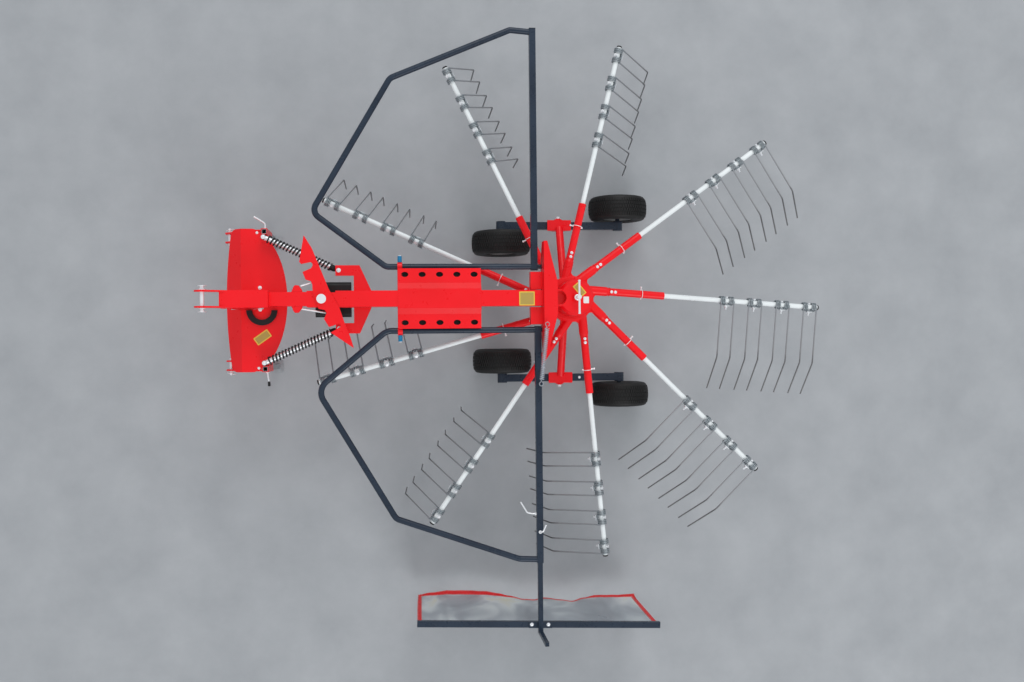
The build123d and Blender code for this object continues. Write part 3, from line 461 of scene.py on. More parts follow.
def bolt_jig():
    """Hexagon bolt heads on washers, on spots with an axis and a size."""
    jig = Jig("hex_bolts", Washer=1.45, Washer_height=0.22, Head_height=0.75)
    given = jig.given
    feeds = {"Vertices": 24, "Radius": given["Washer"], "Depth": given["Washer_height"]}
    washer = jig.put("GeometryNodeMeshCylinder", feeds)
    washer = jig.shift(washer, jig.point(0.0, 0.0, jig.sum("MULTIPLY", given["Washer_height"], 0.5)))
    head = jig.put("GeometryNodeMeshCylinder", {"Vertices": 6, "Radius": 1.0, "Depth": given["Head_height"]})
    lift = jig.sum("ADD", given["Washer_height"], jig.sum("MULTIPLY", given["Head_height"], 0.5))
    head = jig.shift(head, jig.point(0.0, 0.0, lift))
    feeds = {"Vertices": 18, "Radius Top": 0.62, "Radius Bottom": 0.86, "Depth": 0.14}
    top = jig.put("GeometryNodeMeshCone", feeds)
    lift = jig.sum("ADD", given["Washer_height"], given["Head_height"])
    return jig.done(on_spots(jig, jig.together(washer, head, jig.shift(top, jig.point(0.0, 0.0, lift)))))


def on_spots(jig, part):
    """Instances of a part on the base's points, along their axis and at their size."""
    axis = jig.put("GeometryNodeInputNamedAttribute", {"Name": "axis"}, data_type="FLOAT_VECTOR")
    size = jig.put("GeometryNodeInputNamedAttribute", {"Name": "size"}, data_type="FLOAT")
    turn = jig.put("FunctionNodeAlignRotationToVector", {"Vector": axis}, axis="Z")
    return jig.put("GeometryNodeInstanceOnPoints", {
        "Points": jig.given["Base"], "Instance": part, "Rotation": turn, "Scale": jig.point(size, size, size),
    })


def spring_jig():
    """Coil spring from z = 0 up to its length."""
    jig = Jig("coil_spring", Radius=0.02, Wire=0.004, Length=0.4, Turns=20.0)
    given = jig.given
    spiral = jig.spiral(given["Radius"], given["Turns"], given["Length"], 20)
    return jig.done(jig.wire(spiral, given["Wire"]))


def wire_jig():
    """Bent round wire along the base's lines."""
    jig = Jig("bent_wire", Wire=0.003, Bend=0.02)
    curve = jig.put("GeometryNodeMeshToCurve", {"Mesh": jig.given["Base"]})
    return jig.done(jig.wire(jig.filleted(curve, jig.given["Bend"]), jig.given["Wire"], 10))


def weld_jig():
    """Fillet weld: overlapping scales laid along the base's lines."""
    jig = Jig("weld_bead", Step=0.0045, Width=0.0042, Seed=3)
    given = jig.given
    chance = jig.put("FunctionNodeRandomValue", {"Seed": given["Seed"]}, data_type="FLOAT").node.outputs[1]
    scale = jig.put("ShaderNodeMapRange", {"Value": chance, "To Min": 0.85, "To Max": 1.15})
    ball = jig.put("GeometryNodeMeshIcoSphere", {"Radius": given["Width"], "Subdivisions": 1})
    size = jig.point(scale, scale, jig.sum("MULTIPLY", scale, 0.9))
    return jig.done(jig.spaced(ball, given["Step"], size))


def tread_jig():
    """Ring of tread bars about Z, in one row across the tread."""
    jig = Jig("tread_bars", Bars=52, Radius=0.198, Bar=0.016, Row=0.03, Height=0.01, Twist=0.0)
    given = jig.given
    ring = jig.put("GeometryNodeMeshCircle", {"Vertices": given["Bars"], "Radius": given["Radius"]})
    place = jig.put("GeometryNodeInputPosition")
    outwards = jig.put("FunctionNodeAlignRotationToVector", {"Vector": place}, axis="Z")
    feeds = {"Rotation": outwards, "Vector": (0.0, 0.0, 1.0)}
    upright = jig.put("FunctionNodeAlignRotationToVector", feeds, axis="Y", pivot_axis="Z")
    block = jig.put("GeometryNodeMeshCube", {"Size": jig.point(given["Bar"], given["Row"], given["Height"])})
    block = jig.shift(block, turn=jig.point(0.0, 0.0, given["Twist"]))
    feeds = {"Points": ring, "Instance": block, "Rotation": upright}
    return jig.done(jig.put("GeometryNodeInstanceOnPoints", feeds))


def stitch_jig():
    """Lockstitches along the base's lines."""
    jig = Jig("hem_stitches", Step=0.009, Thread=0.0011)
    grain = jig.put("GeometryNodeMeshIcoSphere", {"Radius": jig.given["Thread"], "Subdivisions": 1})
    return jig.done(jig.spaced(jig.shift(grain, scale=(1.0, 1.0, 3.0)), jig.given["Step"]))


# ------------------------------------------------------------------------------ finishes
class Finish:
    """Node material with its shader, and short ways to add noise, ramps and bump."""

    def __init__(self, name):
        self.material = bpy.data.materials.new(name)
        self.material.use_nodes = True
        self.tree = self.material.node_tree
        self.shader = self.tree.nodes["Principled BSDF"]
        self.coords = self.tree.nodes.new("ShaderNodeTexCoord").outputs["Object"]

    def put(self, kind, feeds=None, **settings):
        return add_node(self.tree, kind, feeds, settings)

    def noise(self, scale, detail=3.0, rough=0.6):
        feeds = {"Vector": self.coords, "Scale": scale, "Detail": detail, "Roughness": rough}
        return self.put("ShaderNodeTexNoise", feeds).outputs["Fac"]

    def ramp(self, value, *stops):
        node = self.put("ShaderNodeValToRGB", {"Fac": value})
        elements = node.color_ramp.elements
        elements.remove(elements[-1])
        for number, (place, colour) in enumerate(stops):
            element = elements[0] if number == 0 else elements.new(place)
            element.position = place
            element.color = rgba(colour if isinstance(colour, tuple) else (colour, colour, colour))
        return node.outputs["Color"]

    def mixed(self, share, below, above):
        """Colour between two others; the node's sockets 0, 6 and 7 are its share and the two colours."""
        feeds = {0: share, 6: rgba(below), 7: rgba(above)}
        return self.put("ShaderNodeMix", feeds, data_type="RGBA").outputs[2]

    def sum(self, operation, a, b):
        return self.put("ShaderNodeMath", {0: a, 1: b}, operation=operation).outputs[0]

    def set(self, **values):
        """Shader sockets by name: a link for a socket, a constant otherwise."""
        for key, value in values.items():
            feed(self.tree, self.shader.inputs[key.replace("_", " ")], rgba(value))
        return self

    def bump(self, height, strength, distance, edge=0.0):
        """Bump, over edges that are softened in the shading where a width is given."""
        node = self.put("ShaderNodeBump", {"Height": height, "Strength": strength, "Distance": distance})
        if edge:
            soft = self.put("ShaderNodeBevel", {"Radius": edge}, samples=4)
            self.tree.links.new(soft.outputs[0], node.inputs["Normal"])
        self.tree.links.new(node.outputs[0], self.shader.inputs["Normal"])
        return self.material


PAINT_EDGE = 0.0016
PLATED_EDGE = 0.0006


def powder_coat(name, colour, shade, rough=0.3, dust=0.06):
    """Baked powder paint: cloudy tone, a breath of dust, slight orange peel and softened edges."""
    coat = Finish(name)
    tone = coat.ramp(coat.noise(2.4), (0.3, shade), (0.66, colour))
    dirt = coat.ramp(coat.noise(11.0, 8.0, 0.72), (0.55, 0.0), (0.85, dust))
    coat.set(
        Base_Color=coat.mixed(dirt, tone, (0.42, 0.38, 0.34)),
        Roughness=coat.ramp(coat.noise(19.0, 5.0), (0.3, rough - 0.05), (0.75, rough + 0.12)),
        Specular_IOR_Level=0.32,
    )
    return coat.bump(coat.noise(420.0, 2.0), 0.05, 0.0008, PAINT_EDGE)


def plated(name, colour, shade, rough=0.32, scale=60.0, metallic=0.8):
    """Zinc-plated or bright steel: spangle, dull patches and fine grain."""
    plate = Finish(name)
    plate.set(
        Base_Color=plate.ramp(plate.noise(scale, 4.0), (0.3, shade), (0.7, colour)),
        Roughness=plate.ramp(plate.noise(scale * 2.2, 5.0), (0.3, rough - 0.03), (0.7, rough + 0.05)),
        Metallic=metallic,
    )
    return plate.bump(plate.noise(scale * 3.0, 2.0), 0.04, 0.0003, PLATED_EDGE)


def tine_steel():
    """Spring wire: zinc grey at the coils and upper legs, dark below the kink, lighter at the tips."""
    wire = Finish("tine_spring_wire")
    # the attribute is only the share of the way down the leg: the colour turns darker below the kink and a
    # little lighter at the tips
    wear = wire.put("ShaderNodeAttribute", attribute_name="wear").outputs["Fac"]
    along = wire.sum("ADD", wire.sum("MULTIPLY", wire.noise(24.0, 4.0), 0.18), wear)
    wire.set(
        Base_Color=wire.ramp(
            along, (0.07, (0.29, 0.33, 0.355)), (0.18, (0.37, 0.38, 0.4)), (0.6, (0.32, 0.32, 0.33)),
            (0.72, (0.15, 0.15, 0.155)), (1.0, (0.22, 0.22, 0.22)),
        ),
        Roughness=wire.ramp(wire.noise(70.0, 4.0), (0.3, 0.3), (0.7, 0.42)),
        Metallic=0.7,
    )
    return wire.bump(wire.noise(300.0, 2.0), 0.1, 0.0004)


def moulded(name, colour, shade, rough=0.5, depth=0.2):
    """Moulded plastic or rubber with a fine grain."""
    plastic = Finish(name)
    plastic.set(
        Base_Color=plastic.ramp(plastic.noise(9.0, 5.0), (0.3, shade), (0.75, colour)),
        Roughness=plastic.ramp(plastic.noise(30.0, 4.0), (0.3, rough - 0.08), (0.8, rough + 0.1)),
        Specular_IOR_Level=0.35,
    )
    return plastic.bump(plastic.noise(500.0, 2.0), depth, 0.0006, 0.001)


def tyre_compound():
    """Black tyre rubber with road dust in its grooves and on its walls."""
    rubber = Finish("tyre_compound")
    tone = rubber.ramp(rubber.noise(7.0, 5.0), (0.3, 0.0055), (0.75, 0.01))
    dust = rubber.ramp(rubber.noise(26.0, 6.0, 0.7), (0.5, 0.0), (0.85, 0.05))
    rubber.set(
        Base_Color=rubber.mixed(dust, tone, (0.12, 0.12, 0.12)), Specular_IOR_Level=0.4,
        Roughness=rubber.ramp(rubber.noise(40.0, 4.0), (0.3, 0.5), (0.8, 0.66)),
    )
    return rubber.bump(rubber.noise(300.0, 3.0), 0.3, 0.0008)


def curtain_film():
    """Reinforced translucent film: bluish grey with pale cloudy patches and a woven grid."""
    film = Finish("curtain_film")
    uv = film.put("ShaderNodeUVMap", uv_map="cloth").outputs[0]
    feeds = {"Vector": uv, "Scale": (1.0, 0.55, 1.0), "Rotation": (0, 0, 0.5)}
    wide = film.put("ShaderNodeMapping", feeds).outputs[0]
    feeds = {"Vector": wide, "Scale": 3.4, "Detail": 2.5, "Roughness": 0.5, "Distortion": 0.8}
    cloud = film.put("ShaderNodeTexNoise", feeds).outputs["Fac"]
    along, height = film.put("ShaderNodeSeparateXYZ", {0: uv}).outputs[:2]
    low = film.put("ShaderNodeMapRange", {0: height, 1: 0.1, 2: 0.6, 3: 0.13, 4: -0.03}).outputs[0]
    cloud = film.sum("ADD", cloud, low)
    tone = film.ramp(
        cloud, (0.38, (0.33, 0.365, 0.405)), (0.52, (0.46, 0.51, 0.55)), (0.66, (0.74, 0.79, 0.8)),
        (0.78, (0.78, 0.77, 0.6)),
    )
    lines = [film.sum("SINE", film.sum("MULTIPLY", way, 900.0), 0.0) for way in (along, height)]
    film.set(
        Base_Color=tone, Roughness=film.ramp(cloud, (0.3, 0.26), (0.7, 0.42)), Alpha=0.9,
        Transmission_Weight=0.15, Coat_Weight=0.15, Coat_Roughness=0.2,
    )
    return film.bump(film.sum("MAXIMUM", *lines), 0.2, 0.0004)


def hem_tape():
    """Coated red edging tape with a coarse weave."""
    tape = Finish("red_hem_tape")
    uv = tape.put("ShaderNodeUVMap", uv_map="cloth").outputs[0]
    weave = tape.put("ShaderNodeTexChecker", {"Vector": uv, "Scale": 700.0}).outputs["Fac"]
    tape.set(
        Base_Color=tape.ramp(tape.noise(16.0, 5.0), (0.3, (0.62, 0.006, 0.01)), (0.7, (0.82, 0.01, 0.014))),
        Roughness=tape.ramp(tape.noise(40.0, 4.0), (0.3, 0.42), (0.7, 0.6)),
    )
    return tape.bump(weave, 0.2, 0.0004)


def floor_concrete():
    """Plain pale grey floor with a faint cloud."""
    floor = Finish("plain_floor")
    cloud = floor.noise(2.3, 7.0, 0.62)
    tone = floor.ramp(cloud, (0.25, (0.33, 0.346, 0.366)), (0.75, (0.415, 0.432, 0.452)))
    floor.set(Base_Color=tone, Roughness=0.85)
    return floor.bump(floor.noise(60.0, 4.0), 0.1, 0.002)


RED = powder_coat("red_powder_coat", (0.97, 0.004, 0.012), (0.88, 0.003, 0.008), dust=0.015)
SLATE = powder_coat("slate_powder_coat", (0.02, 0.034, 0.058), (0.012, 0.021, 0.038), rough=0.27, dust=0.02)
PALE = powder_coat("pale_arm_tube", (0.88, 0.92, 0.93), (0.8, 0.84, 0.85), rough=0.26, dust=0.03)
RIM = powder_coat("grey_rim_paint", (0.34, 0.35, 0.35), (0.26, 0.27, 0.27), rough=0.34)
ZINC = plated("bright_zinc", (0.92, 0.94, 0.96), (0.84, 0.86, 0.89), rough=0.36, scale=22.0, metallic=0.55)
SPRING_WIRE = plated("bright_spring_wire", (0.58, 0.63, 0.68), (0.44, 0.48, 0.53), scale=22.0, metallic=0.7)
GALVANISED = plated("galvanised_tube", (0.46, 0.48, 0.5), (0.34, 0.36, 0.38), rough=0.45, scale=34.0)
TINE = tine_steel()
BLACK_STEEL = powder_coat("black_enamel", (0.016, 0.017, 0.019), (0.01, 0.011, 0.012), rough=0.34)
BLACK = moulded("black_plastic", (0.01, 0.01, 0.011), (0.006, 0.006, 0.007))
BLUE = moulded("blue_plastic", (0.012, 0.24, 0.46), (0.01, 0.17, 0.36), rough=0.32)
RUBBER = tyre_compound()
FILM = curtain_film()
TAPE = hem_tape()
THREAD = moulded("pale_thread", (0.62, 0.6, 0.56), (0.5, 0.48, 0.44), rough=0.7)
YELLOW = moulded("yellow_plate_paint", (0.86, 0.6, 0.09), (0.78, 0.52, 0.07), rough=0.34, depth=0.05)
OCHRE = moulded("ochre_plate_panel", (0.5, 0.36, 0.09), (0.43, 0.31, 0.08), rough=0.38, depth=0.05)
LABEL_WHITE = moulded("white_plate_paint", (0.86, 0.86, 0.85), (0.8, 0.8, 0.79), rough=0.34, depth=0.05)

NODE_LOOKS = (
    (RED, "drawbar lock_plate front_yoke cover_plate cross_bracket gearbox_housing axle rotor_hub "
          "headstock_frame headstock_shield rotor_column"),
    (SLATE, "bogie_right bogie_left guard_right guard_left curtain_frame"),
    (PALE, "tine_arms"),
    (ZINC, "swivel_pin strut_lugs link_pins drive_shaft height_crank"),
    (GALVANISED, "leg_right leg_left"),
    (BLACK, "shaft_shroud shaft_hook"),
    (BLUE, "guard_lock_knobs"),
    (RIM, "rim_front_right rim_rear_right rim_front_left rim_rear_left"),
)
for look, nodes in NODE_LOOKS:
    for node in nodes.split():
        mesh = frame["nodes"][node].data
        mesh.materials.clear()
        mesh.materials.append(look)


# ------------------------------------------------------------------------------ spring tines
BOLTS = bolt_jig()
WIRE = wire_jig()
WELD = weld_jig()
SPRING = spring_jig()


def arm_place(index):
    """Placing of an arm: X runs outwards along it, Y ahead in the turn."""
    turn = Matrix.Rotation(radians(ARM_FIRST + 360 / ARM_COUNT * index), 4, "Z")
    droop = Matrix.Rotation(radians(ARM_DROOP), 4, "Y")
    return Matrix.Translation(ROTOR) @ turn @ Matrix.Translation((0, ARM_OFFSET, ARM_Z)) @ droop


def make_tines():
    """Four double tines on each arm, at the roll where the cam holds them, and their clamps."""
    tines, clamps = tine_jig(), clamp_jig()
    for index in range(ARM_COUNT):
        number, roll = index + 1, radians(CAM_ROLL[index])
        mesh = made(tines, TINE, Roll=roll)
        mesh.transform(arm_place(index))
        piece(f"spring_tines_{number}", mesh, None, "rotor", [f"tines_{number}"], sharp=60)
        mesh = made(clamps, ZINC, Roll=roll)
        mesh.transform(arm_place(index))
        piece(f"tine_clamps_{number}", mesh, None, "rotor")


def bolts(name, body, places):
    """Hexagon bolt heads; a place is a point, an axis and the head's radius."""
    return piece(name, made(BOLTS, ZINC, spots(places)), None, body)


def bent_wire(lines, radius, bend, finish=None):
    """Mesh of bent wire along lines."""
    return made(WIRE, finish or ZINC, polyline(*lines), Wire=radius, Bend=bend)


def circle_line(centre, radius, axis):
    """Points once round a circle, the first again at the end."""
    place, line, sides = aim(axis, centre), [], 28
    for k in range(sides):
        a = 2 * pi * k / sides
        line.append(place @ Vector((radius * cos(a), radius * sin(a), 0)))
    return line + line[:1]


def bow(centre, across, up):
    """Points of a linch pin's half ring, from one side of its centre over the top to the other."""
    return [centre + across * cos(pi * k / 12) + up * sin(pi * k / 12) for k in range(13)]


def both_sides(x, start, end, z, radius, sides=28, chamfer=0.001):
    """Short round bars across the machine, one on each side of its middle."""
    return [rod(at(x, s * start, z), at(x, s * end, z), radius, sides, chamfer) for s in (1, -1)]


def make_arm_fittings():
    """Socket bolts, the linch pin that holds each arm in its socket, and the arms' end caps."""
    bolt_places, pins, rings, caps = [], [], [], []
    for index in range(ARM_COUNT):
        place = arm_place(index)
        turn = place.to_3x3()
        up, ahead = turn @ Vector((0, 0, 1)), turn @ Vector((0, 1, 0))
        for x in (0.266, 0.292):
            bolt_places.append((place @ Vector((x, 0, SOCKET_R - 0.0012)), up, 0.0068))
        x = 0.47
        start, end = place @ Vector((x, -0.036, 0)), place @ Vector((x, 0.042, 0))
        pins.append(rod(start, end, 0.0048, 12))
        pins.append(rod(end, end + ahead * 0.009, 0.0072, 12, 0.002))
        rings.append(bow(place @ Vector((x + 0.003, 0, 0)), ahead * 0.034, up * 0.034))
        rim = ARM_R + 0.0012
        profile = [(0, -0.004), (rim, -0.004), (rim, 0.003), (ARM_R - 0.003, 0.006), (0, 0.006)]
        caps.append(moved(turned(profile, 24), place @ aim((1, 0, 0), (ARM_END + 0.004, 0, 0))))
    bolts("socket_bolts", "rotor", bolt_places)
    wires = bent_wire(rings, 0.0022, 0.004)
    piece("arm_linch_pins", joined("pins", pins + [wires]), ZINC, "rotor")
    piece("arm_end_caps", joined("caps", caps), BLACK, "rotor")


# ------------------------------------------------------------------------------ wheels
TREAD_ROWS = ((-0.05, 6.0), (-0.025, -9.0), (0.0, 9.0), (0.025, -9.0), (0.05, 6.0))


def shoulder_fall(z):
    """How far the tread has fallen below its middle, at a place across the tyre."""
    return 0.0125 * min(1.0, abs(z) / 0.072) ** 2.6


def crown(mesh):
    """Rounds a straight tread over to the shoulders."""
    for vertex in mesh.vertices:
        x, y, z = vertex.co
        radius = hypot(x, y)
        share = (radius - shoulder_fall(z)) / radius
        vertex.co = (x * share, y * share, z)
    return mesh


def make_tyre_mesh():
    """Tyre about Z: round-shouldered carcass with ribbed walls and five rows of tread bars."""
    half = [
        (0.1015, 0.0675), (0.105, 0.0738), (0.118, 0.0795), (0.137, 0.0822), (0.145, 0.0825),
        (0.146, 0.0836), (0.149, 0.0836), (0.15, 0.0824), (0.162, 0.0815), (0.174, 0.079),
        (0.183, 0.0745), (0.1875, 0.069), (0.19, 0.061),
    ]
    flat = [(0.1925, z / 1000) for z in (-52, -43, -34, -25, -16, -8, 0, 8, 16, 25, 34, 43, 52)]
    base = [(r - shoulder_fall(z) + 0.0035, z) for r, z in flat]
    section = [(r, -z) for r, z in half] + base + [(r, z) for r, z in reversed(half)]
    carcass = outward(turned(section + section[:1], 96), 1e-6)
    tread, rows = tread_jig(), []
    for number, (middle, twist) in enumerate(TREAD_ROWS):
        bars = {"Bars": 72, "Bar": 0.0108, "Row": 0.02, "Height": 0.01, "Radius": 0.198}
        mesh = made(tread, RUBBER, Twist=radians(twist), **bars)
        shift = Matrix.Rotation(radians(2.5 * (number % 2)), 4, "Z")
        mesh.transform(Matrix.Translation((0, 0, middle)) @ shift)
        rows.append(crown(mesh))
    return joined("tyre", [carcass] + rows)


def make_wheels():
    """Tyres, wheel nuts, hub caps and valve stems."""
    tyre = make_tyre_mesh()
    for wheel in WHEELS:
        low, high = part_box(f"tyre_{wheel}")
        centre = (Vector(low) + Vector(high)) / 2
        end, side = wheel.split("_")
        out = SIDES[side] * (1 if end == "rear" else -1)
        body = f"wheel_{wheel}"
        place = aim((0, out, 0), centre)
        piece(f"ribbed_tyre_{wheel}", moved(tyre, place), RUBBER, body, [f"tyre_{wheel}"])
        nuts = []
        for k in range(5):
            a = 2 * pi * k / 5
            nuts.append((place @ Vector((0.052 * cos(a), 0.052 * sin(a), 0.004)), (0, out, 0), 0.0105))
        bolts(f"wheel_nuts_{wheel}", body, nuts)
        cap = turned([
            (0, 0.048), (0.024, 0.048), (0.0245, 0.05), (0.0225, 0.06), (0.016, 0.067), (0, 0.069),
        ], 32)
        piece(f"hub_cap_{wheel}", moved(cap, place), BLACK, body)
        stem = [place @ Vector(p) for p in ((0.084, 0, 0.004), (0.082, 0, 0.03), (0.078, 0, 0.052))]
        valve = bent_wire([stem], 0.0042, 0.01, BLACK)
        piece(f"valve_stem_{wheel}", valve, BLACK, body)


# ------------------------------------------------------------------------------ springs
SLEEVE_STEPS = 16


def make_stabilisers():
    """Struts between headstock and yoke: black coil spring on a bright sleeve, with caps and eyes."""
    for side, sign in SIDES.items():
        front, rear = (at(x, sign * y, z) for x, y, z in STRUT_ENDS)
        long = (rear - front).length
        place = aim(rear - front, front)
        coil = made(SPRING, BLACK_STEEL, Radius=0.0212, Wire=0.0054, Length=long - 0.107, Turns=18.5)
        coil.transform(place @ Matrix.Translation((0, 0, 0.043)))
        sleeve_end = long - 0.03
        wall = [(0.015, 0.012 + (sleeve_end - 0.012) * k / SLEEVE_STEPS) for k in range(SLEEVE_STEPS + 1)]
        sleeve = moved(turned([(0, 0.012), *wall, (0, sleeve_end)], 24), place)
        caps = [
            moved(turned([(0, 0.014), (0.0125, 0.014), (0.015, 0.028), (0.027, 0.03), (0.027, 0.037),
                          (0.016, 0.037), (0, 0.037)], 28), place),
            moved(turned([(0, long - 0.06), (0.026, long - 0.06), (0.026, long - 0.054),
                          (0.0205, long - 0.052), (0.019, long - 0.028), (0.01, long - 0.014),
                          (0, long - 0.014)], 28), place),
        ]
        for end in (front, rear):
            eye = turned([(0.0088, -0.0115), (0.016, -0.0115), (0.016, 0.0115), (0.0088, 0.0115),
                          (0.0088, -0.0115)], 28)
            caps.append(moved(eye, Matrix.Translation(end)))
        strut = [f"strut_{side}"]
        parts = (
            piece(f"stabiliser_spring_{side}", coil, BLACK_STEEL, None, strut, sharp=60),
            piece(f"stabiliser_sleeve_{side}", sleeve, ZINC),
            piece(f"stabiliser_caps_{side}", joined("caps", caps), BLACK_STEEL),
        )
        for part in parts:
            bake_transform(part)


def make_balance_spring():
    """Tension spring from the cross bracket's pin to the left guard's post, with its open hooks."""
    start, end = (at(*p) for p in SPRING_ENDS)
    along = (end - start).normalized()
    long = (end - start).length
    coil = made(SPRING, SPRING_WIRE, Radius=0.0124, Wire=0.0029, Length=long - 0.056, Turns=28.0)
    coil.transform(aim(along, start + along * 0.028))
    up = Vector((0, 0, 1))
    side = along.cross(up)
    hooks = []
    for point, way in ((start, along), (end, -along)):
        line = [point + way * 0.03 + side * 0.0125, point + way * 0.0255 + side * 0.006, point + way * 0.021]
        for k in range(11):
            a = radians(20 + 32 * k)
            line.append(point + way * (0.0125 * cos(a)) + side * (0.0125 * sin(a)))
        hooks.append(line)
    wires = bent_wire(hooks, 0.0026, 0.004, SPRING_WIRE)
    mesh = joined("spring", [coil, wires])
    spring = piece("balance_spring_coil", mesh, SPRING_WIRE, None, ["balance_spring"], sharp=60)
    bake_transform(spring)


# ------------------------------------------------------------------------------ swath curtain
CURTAIN = Matrix.Translation(at(GUARD_X["left"], CURTAIN_Y, 0)) @ Matrix.Rotation(CURTAIN_YAW, 4, "Z")
HEM_WAVE = (
    (-0.776, 0.014), (-0.68, 0.03), (-0.567, 0.045), (-0.43, 0.046), (-0.302, 0.042), (-0.21, 0.028),
    (-0.133, 0.012), (-0.03, -0.01), (0.036, -0.014), (0.128, 0.0), (0.23, -0.012), (0.321, -0.022),
    (0.41, 0.002), (0.493, 0.02), (0.64, 0.022), (0.776, 0.031),
)
SHEET_TOP = BAR_UNDER - 0.0003
EDGE = CURTAIN_LENGTH / 2 - 0.004
HEM = 0.028


def smooth_step(x):
    """Eases a share from 0 to 1."""
    return x * x * (3 - 2 * x)


def hem_wave(s):
    """Sideways place of the lower hem at a place along the bar."""
    for (a, ya), (b, yb) in zip(HEM_WAVE, HEM_WAVE[1:]):
        if s <= b:
            return ya + (yb - ya) * smooth_step(max(0.0, min(1.0, (s - a) / (b - a))))
    return HEM_WAVE[-1][1]


def sheet_point(s, z):
    """Middle of the hanging sheet: straight under the bar, in folds towards the hem."""
    fall = (SHEET_TOP - z) / (SHEET_TOP - SHEET_LOW)
    fold = 0.0035 * sin(31.0 * s + 1.2) * sin(pi * min(1.0, fall * 1.1)) + 0.0005 * sin(75.0 * s) * fall
    edge = 1.0 - 0.35 * (abs(s) / EDGE) ** 6
    wave = hem_wave(s)
    curl = max(0.0, wave - 0.004) * 0.62
    turn = max(0.0, 1.0 - (z - SHEET_LOW) / 0.045)
    gather = 0.01 * (1.0 - s / EDGE) * fall ** 1.5
    return Vector((s + gather, (wave - curl) * fall ** 1.25 + curl * turn ** 1.6 + fold * edge, z))


def hung(span, drop, half, columns, rows):
    """Closed thin shell of the hanging sheet between two places along the bar and two heights."""
    verts, faces, cloth = [], [], []
    for face in (-1, 1):
        for j in range(rows + 1):
            z = drop[0] + (drop[1] - drop[0]) * j / rows
            for i in range(columns + 1):
                s = span[0] + (span[1] - span[0]) * i / columns
                step = 0.002
                slope = (sheet_point(s + step, z) - sheet_point(s - step, z)).normalized()
                out = Vector((-slope.y, slope.x, 0))
                verts.append(sheet_point(s, z) + out * (face * half))
                cloth.append((s, z))
    row, layer = columns + 1, (columns + 1) * (rows + 1)
    for j in range(rows):
        for i in range(columns):
            a = j * row + i
            faces.append((a, a + 1, a + row + 1, a + row))
            b = a + layer
            faces.append((b, b + row, b + row + 1, b + 1))
    for i in range(columns):
        for a in (i, rows * row + i):
            faces.append((a, a + 1, a + 1 + layer, a + layer))
    for j in range(rows):
        for a in (j * row, j * row + columns):
            faces.append((a, a + row, a + row + layer, a + layer))
    mesh = bpy.data.meshes.new("hung")
    mesh.from_pydata([CURTAIN @ v for v in verts], [], faces)
    outward(mesh)
    layer_uv = mesh.uv_layers.new(name="cloth")
    for loop in mesh.loops:
        layer_uv.data[loop.index].uv = cloth[loop.vertex_index]
    return mesh


def make_curtain():
    """Hanging film with its red edging tape, stitches and the bar's bolts."""
    film = piece(
        "curtain_film", hung((-EDGE + 0.001, EDGE - 0.001), (SHEET_LOW + 0.001, SHEET_TOP), 0.0008, 200, 60),
        FILM, "curtain", ["curtain_sheet"], sharp=60,
    )
    inner = EDGE - HEM
    tapes = joined("tapes", [
        hung((-EDGE, EDGE), (SHEET_LOW, SHEET_LOW + HEM), 0.0021, 200, 5),
        hung((-EDGE, -inner), (SHEET_LOW + HEM, SHEET_TOP), 0.0021, 4, 26),
        hung((inner, EDGE), (SHEET_LOW + HEM, SHEET_TOP), 0.0021, 4, 26),
    ])
    tape = piece("curtain_hem_tape", tapes, TAPE, "curtain", sharp=60)
    lines = []
    for face in (-1, 1):
        for inset in (0.0035, HEM - 0.0035):
            low, long = SHEET_LOW + inset, EDGE - inset
            line = [(-long, z) for z in (SHEET_TOP - 0.004, 0.6, 0.4, 0.25)]
            line += [(-long + 2 * long * k / 160, low) for k in range(161)]
            line += [(long, z) for z in (0.25, 0.4, 0.6, SHEET_TOP - 0.004)]
            lines.append([CURTAIN @ (sheet_point(s, z) + Vector((0, face * 0.0023, 0))) for s, z in line])
    stitches = made(stitch_jig(), THREAD, polyline(*lines), Step=0.01, Thread=0.0011)
    seam = piece("curtain_hem_stitches", stitches, THREAD, "curtain")
    bolts("curtain_bar_bolts", "curtain", [
        (CURTAIN @ Vector((x, 0.004, 0.833)), (0, 0, 1), 0.008) for x in (-0.056, 0.05)
    ])


